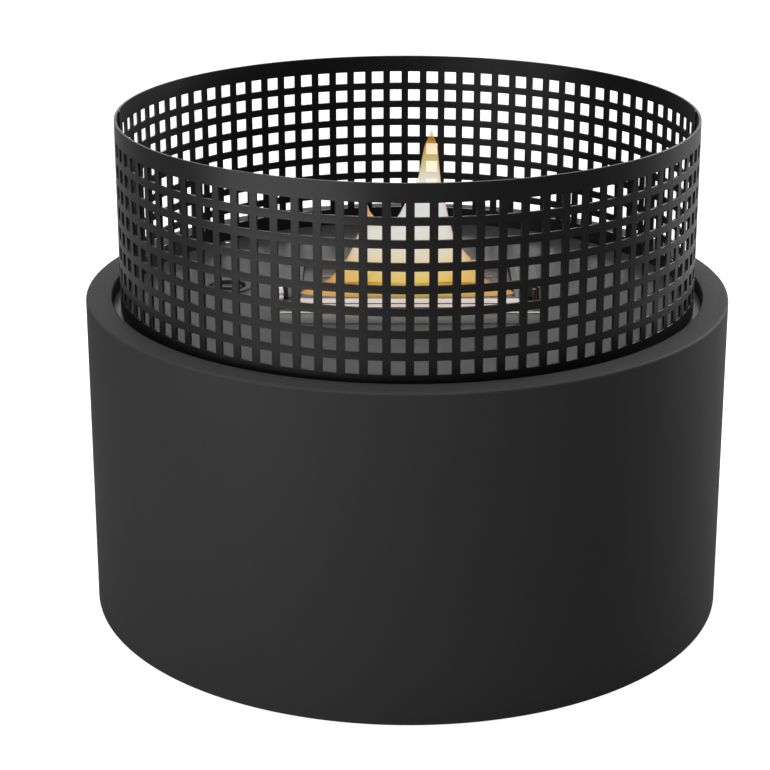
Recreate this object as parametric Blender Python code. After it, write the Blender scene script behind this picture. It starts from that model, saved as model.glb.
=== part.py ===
"""Round gas fire pit: a black sheet-steel drum, a recessed deck with a raised
rectangular burner, a push-and-turn gas control sunk in the deck, and a perforated
screen that stands loose round the flames. Metres, +Z up, the front faces -Y and the
floor is z = 0."""

import bmesh
import bpy
from math import cos, pi, sin, sqrt, tan
from mathutils import Matrix, Vector

MM = 0.001

# Fits
TOUCH = 0.3 * MM            # gap left between pieces that touch
SLIP = 0.6 * MM             # radial clearance of a plate dropped into its seat
HOLE_CLEARANCE = 0.6 * MM   # radial clearance of a shank, neck or probe in its hole

# Drum
DRUM_RADIUS = 350 * MM
DRUM_TOP = 352 * MM         # top of the flat ring round the deck
DRUM_SHEET = 2.5 * MM
FLOOR_CLEARANCE = 2 * MM    # the rubber feet hold the drum's edge this high
RIM_WIDTH = 28 * MM         # the flat ring, from the drum's outside to the deck
RIM_SHEET = 3 * MM
RIM_LIP_SHEET = 2 * MM
LEDGE_WIDTH = 28 * MM
LEDGE_SHEET = 2 * MM
DECK_DROP = 14.2 * MM       # from the ring down to the deck
DECK_SHEET = 3 * MM
FLOOR_RING_WIDTH = 190 * MM
FLOOR_RING_SHEET = 2 * MM
FLOOR_RING_HEIGHT = 6 * MM
FOOT_COUNT = 4
FOOT_RADIUS = 16 * MM
FOOT_INSET = 45 * MM        # from the drum's inside to the foot's axis

# Perforated screen
SCREEN_MARGIN = 9.2 * MM    # deck left between the screen and the ring
SCREEN_SHEET = 2.5 * MM
SCREEN_BAND = 19.1 * MM     # plain strip above and below the holes
HOLE_SIZE = 14 * MM
HOLE_PITCH = 22.33 * MM
HOLE_ROWS = 8
SEAM_STRIP_SHEET = 1.5 * MM
SEAM_STRIP_WIDTH = 7 * MM

# Screws, as shank radius, length, head radius and head height
DECK_SCREW = (2.5 * MM, 12 * MM, 4.5 * MM, 2.2 * MM)
LEG_SCREW = (2.5 * MM, 22 * MM, 4.5 * MM, 2.2 * MM)
FLAME_SCREW = (1.5 * MM, 8 * MM, 2.8 * MM, 1.5 * MM)
DECK_SCREW_COUNT = 4
DECK_SCREW_INSET = 20 * MM  # from the ring's inner edge

# Burner
BURNER_LIFT = 13.2 * MM     # from the deck to the top of the burner plate
PLATE_MARGIN_X = 17.5 * MM  # burner plate outside its rim, at the ends
PLATE_MARGIN_Y = 14.5 * MM  # and along the sides
PLATE_SHEET = 1.5 * MM
PLATE_CORNER = 6 * MM
LEG_INSET = 13.5 * MM       # from the plate's edges to a leg's axis
LEG_RADIUS = 6 * MM
RIM_HALF_X = 128 * MM
RIM_HALF_Y = 81.5 * MM
BURNER_RIM_HEIGHT = 8 * MM
BURNER_RIM_WIDTH = 13 * MM
BURNER_RIM_SHEET = 1.2 * MM
BURNER_RIM_CORNER = 4 * MM
FLAME_SHEET = 1.2 * MM
FLAME_SEAT = 8 * MM         # how far the flame plate laps onto the burner plate
FLAME_CORNER = 4 * MM
SLOT_COLUMNS = 8
SLOT_ROWS = 2
SLOT_LENGTH = 18 * MM
SLOT_WIDTH = 4 * MM
SLOT_PITCH_X = 25 * MM
SLOT_PITCH_Y = 54 * MM
BOX_DEPTH = 18 * MM
BOX_SHEET = 1.2 * MM
BOX_FLANGE = 9 * MM
BOX_CORNER = 8 * MM
DECK_CUT_MARGIN = 12 * MM   # room round the box where it passes the deck
TUBE_RADIUS = 11.5 * MM
TUBE_WALL = 1.2 * MM
TUBE_LENGTH = 46 * MM
TUBE_FLANGE_RADIUS = 16 * MM
TUBE_FLANGE_SHEET = 1.5 * MM
AIR_PORT_RADIUS = 4 * MM
AIR_PORT_MARGIN = 2 * MM    # from the injector's cup up to the air ports
INJECTOR_WALL = 2.2 * MM
INJECTOR_GRIP = 11 * MM     # how far the injector's cup holds the tube
INJECTOR_FLOOR = 3 * MM
NOZZLE_ROOT_RADIUS = 5 * MM
NOZZLE_TIP_RADIUS = 2.5 * MM
NOZZLE_HEIGHT = 7 * MM
STUB_RADIUS = 7 * MM
STUB_LENGTH = 10 * MM

# Igniter and thermocouple, at the two ends of the burner's rim
PROBE_Y = -52 * MM
PROBE_SIDE = 8.5 * MM       # from the rim's end to the probe's axis
PROBE_BELOW = 21 * MM       # how far a probe reaches under the plate's top
PROBE_HOLE_RADIUS = 6 * MM  # in the deck, wide enough to leave the probe clear
CERAMIC_RADIUS = 3.5 * MM
CERAMIC_ABOVE = 14 * MM
WIRE_RADIUS = 0.9 * MM
WIRE_RISE = 4.5 * MM
WIRE_REACH = 17 * MM
WIRE_BEND = 2.5 * MM
THERMO_RADIUS = 2.5 * MM
THERMO_ABOVE = 12 * MM
THERMO_TIP_RADIUS = 1.6 * MM
THERMO_TIP = 5 * MM
BRACKET_SHEET = 1.2 * MM
BRACKET_WIDTH = 14 * MM
BRACKET_HEIGHT = 13 * MM
BRACKET_FOOT = 18 * MM
LEAD_RADIUS = 1.5 * MM
LEAD_BEND = 10 * MM
IGNITER_LEAD_DROP = 17 * MM     # how far each lead hangs down before it turns
IGNITER_LEAD_RISE = 45 * MM     # the upright run that ends at the probe
THERMO_LEAD_DROP = 20 * MM
THERMO_LEAD_RISE = 55 * MM

# Gas control, in a cup sunk in the deck left of the burner
CONTROL_X = -201 * MM
CONTROL_Y = 38 * MM
CUP_RADIUS = 21 * MM
CUP_SHEET = 1.2 * MM
CUP_FLANGE_RADIUS = 28 * MM
CUP_DEPTH = 20 * MM
KNOB_CLEARANCE = 2.5 * MM   # between the knob's side and the cup
KNOB_WALL = 2.5 * MM
KNOB_CAP = 3 * MM
KNOB_CHAMFER = 1 * MM
KNOB_DROP = 4 * MM          # from the cup's rim down to the knob's face
KNOB_HUB_RADIUS = 5.5 * MM
GRIP_WIDTH = 8 * MM
GRIP_CORNER = 2 * MM
GRIP_HEIGHT = 3.6 * MM
GRIP_ROOT = 0.6 * MM        # how deep the grip is moulded into the knob's face
GRIP_END_MARGIN = 2 * MM    # knob face left beyond each end of the grip
PUSH_TRAVEL = 4 * MM
PUSH_MARGIN = 0.4 * MM      # left under the knob and stem when they are pushed in
STEM_RADIUS = 3 * MM
STEM_ENGAGEMENT = 9 * MM    # length of stem held in the plug
STEM_COVER = 1.2 * MM       # knob left over the stem's end
STEM_CLEARANCE = 0.4 * MM
NECK_RADIUS = 8 * MM
NUT_RADIUS = 11.5 * MM
NUT_HEIGHT = 3 * MM
VALVE_HALF_X = 17 * MM
VALVE_HALF_Y = 20 * MM
VALVE_HEIGHT = 33 * MM
VALVE_CORNER = 4 * MM
CAP_RADIUS = 15 * MM
CAP_HEIGHT = 5 * MM
PLUG_TOP_RADIUS = 7 * MM
PLUG_BOTTOM_RADIUS = 6 * MM
PLUG_HEIGHT = 20 * MM
PLUG_CLEARANCE = 0.5 * MM
MAGNET_RADIUS = 8.5 * MM
MAGNET_HEIGHT = 10 * MM
MAGNET_NOSE = 6 * MM        # how far it screws up into the valve
MAGNET_TAIL_RADIUS = 4 * MM
MAGNET_TAIL = 5 * MM
PIEZO_RADIUS = 6 * MM
PIEZO_LENGTH = 30 * MM

# Gas line
PIPE_RADIUS = 4 * MM
PIPE_BEND = 12 * MM
PORT_HEIGHT = 14 * MM       # the valve's ports above its underside
BURNER_PIPE_DROP = 26 * MM  # how far the pipe dips under the injector
BURNER_PIPE_RUN = 24 * MM   # its last straight run, into the valve
SUPPLY_PIPE_RUN = 28 * MM   # its straight run from the inlet
SUPPLY_PIPE_END = 62 * MM   # its straight run into the valve
PIPE_NUT_RADIUS = 7.5 * MM
PIPE_NUT_LENGTH = 8 * MM
INLET_SETBACK = 114 * MM    # from the drum's back to the inlet's bracket
INLET_HEIGHT = 52 * MM
INLET_BRACKET_WIDTH = 34 * MM
INLET_BRACKET_SHEET = 2 * MM
INLET_BRACKET_FOOT = 24 * MM
INLET_BRACKET_MARGIN = 16 * MM  # bracket left above the inlet's axis
INLET_TAIL_RADIUS = 5.5 * MM
INLET_TAIL_LENGTH = 11 * MM
INLET_COLLAR_RADIUS = 11 * MM
INLET_COLLAR_LENGTH = 9 * MM
INLET_THREAD_RADIUS = 6.5 * MM
INLET_THREAD_LENGTH = 16 * MM
INLET_BORE_RADIUS = 3 * MM
INLET_BORE_DEPTH = 10 * MM
INLET_NUT_HEIGHT = 5 * MM
GROMMET_HOLE_RADIUS = 14 * MM
GROMMET_BORE_RADIUS = 8 * MM
GROMMET_LIP = 3 * MM
GROMMET_LIP_HEIGHT = 2 * MM

# Facets
BIG_SIDES = 60
ROUND_SIDES = 20
TUBE_SIDES = 12
SMALL_SIDES = 8
CORNER_STEPS = 2
BEND_STEPS = 3

# Places worked out from the sizes above
RIM_INNER_RADIUS = DRUM_RADIUS - RIM_WIDTH
SCREEN_RADIUS = RIM_INNER_RADIUS - SCREEN_MARGIN
PLATE_HALF_X = RIM_HALF_X + PLATE_MARGIN_X
PLATE_HALF_Y = RIM_HALF_Y + PLATE_MARGIN_Y
INLET_Y = DRUM_RADIUS - INLET_SETBACK
SHELL_INNER_RADIUS = DRUM_RADIUS - DRUM_SHEET
DECK_TOP = DRUM_TOP - DECK_DROP
DECK_BOTTOM = DECK_TOP - DECK_SHEET
LEDGE_TOP = DECK_BOTTOM - TOUCH
LEDGE_BOTTOM = LEDGE_TOP - LEDGE_SHEET
FLOOR_RING_TOP = FLOOR_RING_HEIGHT + FLOOR_RING_SHEET
SCREEN_BOTTOM = DECK_TOP + TOUCH
SCREEN_HEIGHT = 2 * SCREEN_BAND + (HOLE_ROWS - 1) * HOLE_PITCH + HOLE_SIZE
SCREEN_INNER_RADIUS = SCREEN_RADIUS - SCREEN_SHEET
HALF_COLUMNS = round(pi * SCREEN_RADIUS / HOLE_PITCH)
HOLE_ANGLE = HOLE_SIZE / SCREEN_RADIUS
BAR_ANGLE = pi / HALF_COLUMNS - HOLE_ANGLE
PLATE_TOP = DECK_TOP + BURNER_LIFT
PLATE_BOTTOM = PLATE_TOP - PLATE_SHEET
ON_PLATE = PLATE_TOP + TOUCH
RIM_OPEN_X = RIM_HALF_X - BURNER_RIM_WIDTH
RIM_OPEN_Y = RIM_HALF_Y - BURNER_RIM_WIDTH
FLAME_HALF_X = RIM_OPEN_X - SLIP
FLAME_HALF_Y = RIM_OPEN_Y - SLIP
FLAME_TOP = ON_PLATE + FLAME_SHEET
OPENING_X = FLAME_HALF_X - FLAME_SEAT
OPENING_Y = FLAME_HALF_Y - FLAME_SEAT
BOX_TOP = PLATE_BOTTOM - TOUCH
BOX_BOTTOM = BOX_TOP - BOX_DEPTH
BOX_FLOOR = BOX_BOTTOM + BOX_SHEET
TUBE_TOP = BOX_FLOOR + TOUCH + TUBE_FLANGE_SHEET
TUBE_BOTTOM = TUBE_TOP - TUBE_LENGTH
INJECTOR_BOTTOM = TUBE_BOTTOM - TOUCH - INJECTOR_FLOOR
STUB_BOTTOM = INJECTOR_BOTTOM - STUB_LENGTH
PROBE_X = RIM_HALF_X + PROBE_SIDE
PROBE_BOTTOM = PLATE_TOP - PROBE_BELOW
CUP_TOP = DECK_TOP + TOUCH + CUP_SHEET
CUP_FLOOR = CUP_TOP - CUP_DEPTH
CUP_BOTTOM = CUP_FLOOR - CUP_SHEET
NECK_TOP = CUP_FLOOR + TOUCH + NUT_HEIGHT
CAP_TOP = CUP_BOTTOM - TOUCH
CAP_BOTTOM = CAP_TOP - CAP_HEIGHT
VALVE_TOP = CAP_BOTTOM - TOUCH
VALVE_BOTTOM = VALVE_TOP - VALVE_HEIGHT
VALVE_BORE_RADIUS = PLUG_TOP_RADIUS + PLUG_CLEARANCE
STEM_BORE_RADIUS = STEM_RADIUS + STEM_CLEARANCE
PLUG_TOP = VALVE_TOP - TOUCH
KNOB_RADIUS = CUP_RADIUS - KNOB_CLEARANCE
KNOB_FACE = CUP_TOP - KNOB_DROP
STEM_TOP = KNOB_FACE - STEM_COVER - TOUCH
STEM_BOTTOM = PLUG_TOP - STEM_ENGAGEMENT
MAGNET_BOTTOM = VALVE_BOTTOM - TOUCH - MAGNET_HEIGHT - MAGNET_TAIL
PIEZO_X = CONTROL_X - VALVE_HALF_X - TOUCH - PIEZO_RADIUS
PORT_Z = VALVE_BOTTOM + PORT_HEIGHT


# Materials

def paint(name, colour, roughness, metallic=0.0):
    """A Principled BSDF material of the piece's own; colour is linear RGB."""
    made = bpy.data.materials.new(name)
    made.use_nodes = True
    shader = made.node_tree.nodes["Principled BSDF"]
    shader.inputs["Base Color"].default_value = (*colour, 1.0)
    shader.inputs["Roughness"].default_value = roughness
    shader.inputs["Metallic"].default_value = metallic
    return made


def lacquer(name):
    return paint(name + "_lacquer", (0.024, 0.024, 0.025), 0.55)


def stainless(name):
    return paint(name + "_stainless", (0.55, 0.54, 0.52), 0.3, 1.0)


def zinc(name):
    return paint(name + "_zinc", (0.42, 0.43, 0.45), 0.4, 1.0)


def brass(name):
    return paint(name + "_brass", (0.60, 0.44, 0.18), 0.3, 1.0)


def copper(name):
    return paint(name + "_copper", (0.70, 0.32, 0.18), 0.35, 1.0)


def rubber(name):
    return paint(name + "_rubber", (0.018, 0.018, 0.018), 0.85)


def plastic(name):
    return paint(name + "_plastic", (0.02, 0.02, 0.02), 0.45)


def ceramic(name):
    return paint(name + "_ceramic", (0.78, 0.76, 0.70), 0.45)


# Outlines: lists of corners, counter-clockwise seen from above

def circle(radius, sides, centre=(0.0, 0.0), turn=0.0):
    angles = [turn + 2 * pi * i / sides for i in range(sides)]
    return [(centre[0] + radius * cos(a), centre[1] + radius * sin(a)) for a in angles]


def rounded_rectangle(half_x, half_y, radius, centre=(0.0, 0.0)):
    """A rectangle whose corners are arcs of CORNER_STEPS edges."""
    points = []
    corners = ((1, 1), (-1, 1), (-1, -1), (1, -1))
    for quarter, (side_x, side_y) in enumerate(corners):
        for step in range(CORNER_STEPS + 1):
            angle = (quarter + step / CORNER_STEPS) * pi / 2
            x = side_x * (half_x - radius) + radius * cos(angle)
            y = side_y * (half_y - radius) + radius * sin(angle)
            points.append((centre[0] + x, centre[1] + y))
    return points


def rectangle(half_x, half_y, centre=(0.0, 0.0)):
    signs = ((1, 1), (-1, 1), (-1, -1), (1, -1))
    return [(centre[0] + sx * half_x, centre[1] + sy * half_y) for sx, sy in signs]


def screw_hole(screw, place):
    return circle(screw[0] + HOLE_CLEARANCE, SMALL_SIDES, place)


# Solids

def finish(name, bm, material, smooth=True):
    """Turn a bmesh into the named object, smooth on its curved faces."""
    bmesh.ops.recalc_face_normals(bm, faces=bm.faces)
    mesh = bpy.data.meshes.new(name)
    bm.to_mesh(mesh)
    bm.free()
    if smooth:
        mesh.shade_smooth()
        mesh.set_sharp_from_angle(angle=pi / 5)
    mesh.materials.append(material)
    made = bpy.data.objects.new(name, mesh)
    bpy.context.scene.collection.objects.link(made)
    return made


def add_turned(bm, profile, sides, ring=False, centre=(0.0, 0.0)):
    """Spin (radius, height) corners round a vertical axis through centre. A ring's
    profile closes on itself; otherwise its first and last circles are capped."""
    old = set(bm.verts)
    corners = [bm.verts.new((r, 0.0, z)) for r, z in profile]
    edges = [bm.edges.new(pair) for pair in zip(corners, corners[1:])]
    if ring:
        edges.append(bm.edges.new((corners[-1], corners[0])))
    bmesh.ops.spin(bm, geom=corners + edges, cent=(0, 0, 0), axis=(0, 0, 1),
                   dvec=(0, 0, 0), angle=2 * pi, steps=sides, use_merge=True)
    bmesh.ops.holes_fill(bm, edges=[e for e in bm.edges if e.is_boundary], sides=0)
    added = [v for v in bm.verts if v not in old]
    bmesh.ops.translate(bm, verts=added, vec=(*centre, 0.0))


def turned(name, profile, material, sides=TUBE_SIDES, ring=False, centre=(0.0, 0.0)):
    bm = bmesh.new()
    add_turned(bm, profile, sides, ring, centre)
    return finish(name, bm, material)


def lofted(name, loops, material, ring=False):
    """Join (outline, height) loops of equal point counts, point to point. A ring
    closes its last loop on its first; otherwise both ends are capped."""
    bm = bmesh.new()
    rims = [[bm.verts.new((x, y, height)) for x, y in outline] for outline, height in loops]
    pairs = list(zip(rims, rims[1:]))
    if ring:
        pairs.append((rims[-1], rims[0]))
    for here, there in pairs:
        for i in range(len(here)):
            bm.faces.new((here[i - 1], here[i], there[i], there[i - 1]))
    bmesh.ops.holes_fill(bm, edges=[e for e in bm.edges if e.is_boundary], sides=0)
    return finish(name, bm, material)


def raise_faces(bm, faces, step):
    """Extrude flat faces into a solid and keep the faces it started from."""
    grown = bmesh.ops.extrude_face_region(bm, geom=faces, use_keep_orig=True)
    moved = [g for g in grown["geom"] if isinstance(g, bmesh.types.BMVert)]
    bmesh.ops.translate(bm, verts=moved, vec=step)


def draw(bm, outline, height):
    """An outline as a closed line of edges."""
    verts = [bm.verts.new((x, y, height)) for x, y in outline]
    return [bm.edges.new(pair) for pair in zip(verts, verts[1:] + verts[:1])]


def fill(bm, edges):
    """Faces between lines: the outermost is their edge, the others are holes."""
    filled = bmesh.ops.triangle_fill(bm, edges=edges, use_beauty=True)
    return [g for g in filled["geom"] if isinstance(g, bmesh.types.BMFace)]


def add_sheet(bm, outlines, bottom, thickness):
    """A flat sheet: the first outline is its edge, the others are holes through it."""
    edges = []
    for outline in outlines:
        edges += draw(bm, outline, bottom)
    raise_faces(bm, fill(bm, edges), (0, 0, thickness))


def sheet(name, outlines, bottom, thickness, material):
    bm = bmesh.new()
    add_sheet(bm, outlines, bottom, thickness)
    return finish(name, bm, material)


def pan(name, edge, inside, holes, bottom, thickness, drop, material):
    """A sheet whose edge is folded down: edge and inside are the fold's two outlines."""
    bm = bmesh.new()
    inner = draw(bm, inside, bottom)
    rim = fill(bm, draw(bm, edge, bottom) + inner)
    edges = list(inner)
    for hole in holes:
        edges += draw(bm, hole, bottom)
    raise_faces(bm, rim + fill(bm, edges), (0, 0, thickness))
    raise_faces(bm, rim, (0, 0, -drop))
    bmesh.ops.delete(bm, geom=rim, context="FACES")
    return finish(name, bm, material)


def repeat(made, places):
    """Stand the piece at the first place and copies that share its mesh at the rest."""
    name = made.name
    for number, place in enumerate(places, 1):
        if number > 1:
            made = made.copy()
            bpy.context.scene.collection.objects.link(made)
        made.name = f"{name}_{number}"
        made.location = place


def screws(name, places, seat, screw, material):
    """Round-headed screws pointing down, their heads resting on the height seat."""
    shank_radius, length, head_radius, head_height = screw
    profile = [(shank_radius, TOUCH - length), (shank_radius, TOUCH), (head_radius, TOUCH),
               (head_radius, TOUCH + head_height)]
    repeat(turned(name, profile, material, SMALL_SIDES), [(x, y, seat) for x, y in places])


def angle_bracket(name, foot, upright, thickness, width, material):
    """An L of bent sheet made at the origin: its foot lies along +X from the bend's
    outside, and the upright rises along +Z."""
    corners = [(0, 0), (foot, 0), (foot, thickness), (thickness, thickness),
               (thickness, upright), (0, upright)]
    bm = bmesh.new()
    side = bm.faces.new([bm.verts.new((x, -width / 2, z)) for x, z in corners])
    raise_faces(bm, [side], (0, width, 0))
    return finish(name, bm, material, smooth=False)


def stand(made, place, turn):
    """Place a piece made at the origin and turn it about the vertical."""
    made.location = place
    made.rotation_euler = (0, 0, turn)
    return made


def aim(made, place, direction):
    """Place a piece made round +Z so that it points along the direction."""
    made.location = place
    made.rotation_euler = Vector(direction).to_track_quat("Z", "Y").to_euler()
    return made


def bent_route(corners, bend):
    """Points along a pipe through the corners, each rounded by an arc of radius bend."""
    corners = [Vector(c) for c in corners]
    points = [corners[0]]
    for before, corner, after in zip(corners, corners[1:], corners[2:]):
        back = (before - corner).normalized()
        ahead = (after - corner).normalized()
        half = back.angle(ahead) / 2
        centre = corner + (back + ahead).normalized() * bend / sin(half)
        start = (corner + back * bend / tan(half) - centre).normalized()
        end = (corner + ahead * bend / tan(half) - centre).normalized()
        for step in range(BEND_STEPS + 1):
            points.append(centre + bend * start.slerp(end, step / BEND_STEPS))
    points.append(corners[-1])
    return points


def pipe(name, corners, radius, bend, material):
    """A round pipe or lead: a bevelled poly curve of 8 sides with filled ends."""
    curve = bpy.data.curves.new(name, "CURVE")
    curve.dimensions = "3D"
    curve.bevel_depth = radius
    curve.bevel_resolution = 2
    curve.use_fill_caps = True
    points = bent_route(corners, bend)
    spline = curve.splines.new("POLY")
    spline.points.add(len(points) - 1)
    for slot, point in zip(spline.points, points):
        slot.co = (*point, 1.0)
    spline.use_smooth = True
    curve.materials.append(material)
    made = bpy.data.objects.new(name, curve)
    bpy.context.scene.collection.objects.link(made)
    return made


def cut(target, tool, operation="DIFFERENCE"):
    """A live Boolean; its tool is a guide that never renders."""
    tool.hide_render = True
    tool.display_type = "WIRE"
    boolean = target.modifiers.new(tool.name, "BOOLEAN")
    boolean.operation = operation
    boolean.solver = "EXACT"
    boolean.object = tool


def hang(children, parent):
    """Parent pieces and keep them where they stand."""
    bpy.context.view_layer.update()
    for child in children:
        child.parent = parent
        child.matrix_parent_inverse = parent.matrix_world.inverted()


def axis_empty(name, place, parent=None):
    """An empty on a joint's axis."""
    made = bpy.data.objects.new(name, None)
    made.location = place
    bpy.context.scene.collection.objects.link(made)
    if parent:
        hang([made], parent)
    return made


# Drum

def make_shell():
    shell = turned("base_shell",
                   [(SHELL_INNER_RADIUS, FLOOR_CLEARANCE), (DRUM_RADIUS, FLOOR_CLEARANCE),
                    (DRUM_RADIUS, DRUM_TOP), (SHELL_INNER_RADIUS, DRUM_TOP)],
                   lacquer("base_shell"), BIG_SIDES, ring=True)
    profile = [(GROMMET_HOLE_RADIUS, -4 * DRUM_SHEET), (GROMMET_HOLE_RADIUS, 4 * DRUM_SHEET)]
    drill = turned("hose_hole_drill", profile, rubber("hose_hole_drill"), ROUND_SIDES)
    cut(shell, aim(drill, (0, DRUM_RADIUS, INLET_HEIGHT), (0, 1, 0)))


def make_rim():
    """The flat top ring; its inner edge turns down past the deck to the ledge."""
    outside = SHELL_INNER_RADIUS - TOUCH
    lip = RIM_INNER_RADIUS + RIM_LIP_SHEET
    turned("rim_ring", [(RIM_INNER_RADIUS, LEDGE_BOTTOM), (lip, LEDGE_BOTTOM),
                        (lip, DRUM_TOP - RIM_SHEET), (outside, DRUM_TOP - RIM_SHEET),
                        (outside, DRUM_TOP), (RIM_INNER_RADIUS, DRUM_TOP)],
           lacquer("rim_ring"), BIG_SIDES, ring=True)


def deck_screw_places():
    radius = RIM_INNER_RADIUS - DECK_SCREW_INSET
    return circle(radius, DECK_SCREW_COUNT, turn=pi / DECK_SCREW_COUNT)


def leg_places():
    return rectangle(PLATE_HALF_X - LEG_INSET, PLATE_HALF_Y - LEG_INSET)


def make_deck():
    outside = circle(RIM_INNER_RADIUS - TOUCH, BIG_SIDES)
    inside = circle(RIM_INNER_RADIUS - LEDGE_WIDTH, BIG_SIDES // 2)
    threads = [screw_hole(DECK_SCREW, place) for place in deck_screw_places()]
    sheet("deck_ledge", [outside, inside] + threads, LEDGE_BOTTOM, LEDGE_SHEET,
          lacquer("deck_ledge"))
    edge = circle(RIM_INNER_RADIUS - SLIP, BIG_SIDES)
    burner_hole = rounded_rectangle(OPENING_X + DECK_CUT_MARGIN, OPENING_Y + DECK_CUT_MARGIN,
                                    BOX_CORNER)
    cup_hole = circle(CUP_RADIUS + CUP_SHEET + HOLE_CLEARANCE, ROUND_SIDES,
                      (CONTROL_X, CONTROL_Y))
    holes = [screw_hole(DECK_SCREW, place) for place in deck_screw_places()]
    holes += [screw_hole(LEG_SCREW, place) for place in leg_places()]
    for side in (-1, 1):
        holes.append(circle(PROBE_HOLE_RADIUS, SMALL_SIDES, (side * PROBE_X, PROBE_Y)))
    sheet("deck_plate", [edge, burner_hole, cup_hole] + holes, DECK_BOTTOM, DECK_SHEET,
          lacquer("deck_plate"))
    screws("deck_screw", deck_screw_places(), DECK_TOP, DECK_SCREW, zinc("deck_screw"))


def make_floor():
    outer = circle(SHELL_INNER_RADIUS - TOUCH, BIG_SIDES)
    inner = circle(SHELL_INNER_RADIUS - FLOOR_RING_WIDTH, BIG_SIDES // 2)
    sheet("floor_ring", [outer, inner], FLOOR_RING_HEIGHT, FLOOR_RING_SHEET,
          lacquer("floor_ring"))
    places = circle(SHELL_INNER_RADIUS - FOOT_INSET, FOOT_COUNT, turn=pi / FOOT_COUNT)
    foot = turned("foot", [(FOOT_RADIUS, 0), (FOOT_RADIUS, FLOOR_RING_HEIGHT - TOUCH)],
                  rubber("foot"))
    repeat(foot, [(x, y, 0) for x, y in places])


# Perforated screen

def in_hole_row(z):
    """Whether a height lies within one of the rows of holes."""
    row = (z - SCREEN_BOTTOM - SCREEN_BAND - HOLE_SIZE / 2) / HOLE_PITCH
    nearest = min(max(round(row), 0), HOLE_ROWS - 1)
    return abs(row - nearest) * HOLE_PITCH < HOLE_SIZE / 2


def screen_levels():
    """Heights of the screen's edges and of every hole's bottom and top."""
    levels = [SCREEN_BOTTOM]
    for row in range(HOLE_ROWS):
        bottom = SCREEN_BOTTOM + SCREEN_BAND + row * HOLE_PITCH
        levels += [bottom, bottom + HOLE_SIZE]
    return levels + [SCREEN_BOTTOM + SCREEN_HEIGHT]


def make_screen_half(name, start):
    """Half of the screen's sheet. An upright edge is swept round in turns of one bar
    or one hole; where a hole column crosses a hole row, the face is taken out."""
    bm = bmesh.new()
    seam = TOUCH / 2 / SCREEN_RADIUS
    x = SCREEN_RADIUS * cos(start + seam)
    y = SCREEN_RADIUS * sin(start + seam)
    verts = [bm.verts.new((x, y, z)) for z in screen_levels()]
    front = [bm.edges.new(pair) for pair in zip(verts, verts[1:])]
    half_bar = BAR_ANGLE / 2 - seam
    steps = [half_bar] + [HOLE_ANGLE, BAR_ANGLE] * (HALF_COLUMNS - 1) + [HOLE_ANGLE, half_bar]
    openings = []
    for number, angle in enumerate(steps):
        swept = bmesh.ops.extrude_edge_only(bm, edges=front)["geom"]
        moved = {g for g in swept if isinstance(g, bmesh.types.BMVert)}
        bmesh.ops.rotate(bm, verts=list(moved), matrix=Matrix.Rotation(angle, 3, "Z"))
        if number % 2:
            strip = [g for g in swept if isinstance(g, bmesh.types.BMFace)]
            openings += [f for f in strip if in_hole_row(f.calc_center_median().z)]
        front = [g for g in swept if isinstance(g, bmesh.types.BMEdge)
                 and moved.issuperset(g.verts)]
    bmesh.ops.delete(bm, geom=openings, context="FACES")
    half = finish(name, bm, lacquer(name))
    wall = half.modifiers.new("wall", "SOLIDIFY")
    wall.thickness = SCREEN_SHEET
    wall.offset = -1.0
    wall.use_even_offset = True
    return half


def make_screen():
    pieces = [make_screen_half("screen_front", pi), make_screen_half("screen_rear", 0.0)]
    face = SCREEN_INNER_RADIUS * cos(BAR_ANGLE / 2) - TOUCH
    for side, name in ((-1, "screen_seam_left"), (1, "screen_seam_right")):
        outline = rectangle(SEAM_STRIP_SHEET / 2, SEAM_STRIP_WIDTH / 2,
                            (side * (face - SEAM_STRIP_SHEET / 2), 0))
        pieces.append(sheet(name, [outline], SCREEN_BOTTOM, SCREEN_HEIGHT, lacquer(name)))
    hang(pieces, axis_empty("screen_lift", (0, 0, SCREEN_BOTTOM)))


# Burner

def flame_screw_places():
    """The middle of each end of the flame plate, centred on its lap."""
    x = FLAME_HALF_X - FLAME_SEAT / 2
    return [(-x, 0), (x, 0)]


def make_burner_plates():
    screw_holes = [screw_hole(FLAME_SCREW, place) for place in flame_screw_places()]
    opening = rounded_rectangle(OPENING_X, OPENING_Y, BOX_CORNER)
    legs = [screw_hole(LEG_SCREW, place) for place in leg_places()]
    probes = [circle(CERAMIC_RADIUS + HOLE_CLEARANCE, SMALL_SIDES, (-PROBE_X, PROBE_Y)),
              circle(THERMO_RADIUS + HOLE_CLEARANCE, SMALL_SIDES, (PROBE_X, PROBE_Y))]
    edge = rounded_rectangle(PLATE_HALF_X, PLATE_HALF_Y, PLATE_CORNER)
    inside = rounded_rectangle(PLATE_HALF_X - PLATE_SHEET, PLATE_HALF_Y - PLATE_SHEET,
                               PLATE_CORNER - PLATE_SHEET)
    drop = PLATE_BOTTOM - DECK_TOP - TOUCH
    pan("burner_plate", edge, inside, [opening] + screw_holes + legs + probes, PLATE_BOTTOM,
        PLATE_SHEET, drop, stainless("burner_plate"))
    slots = []
    for column in range(SLOT_COLUMNS):
        for row in range(SLOT_ROWS):
            x = (column - (SLOT_COLUMNS - 1) / 2) * SLOT_PITCH_X
            y = (row - (SLOT_ROWS - 1) / 2) * SLOT_PITCH_Y
            slots.append(rectangle(SLOT_LENGTH / 2, SLOT_WIDTH / 2, (x, y)))
    edge = rounded_rectangle(FLAME_HALF_X, FLAME_HALF_Y, FLAME_CORNER)
    sheet("flame_plate", [edge] + screw_holes + slots, ON_PLATE, FLAME_SHEET,
          stainless("flame_plate"))
    screws("flame_screw", flame_screw_places(), FLAME_TOP, FLAME_SCREW, zinc("flame_screw"))


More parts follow.
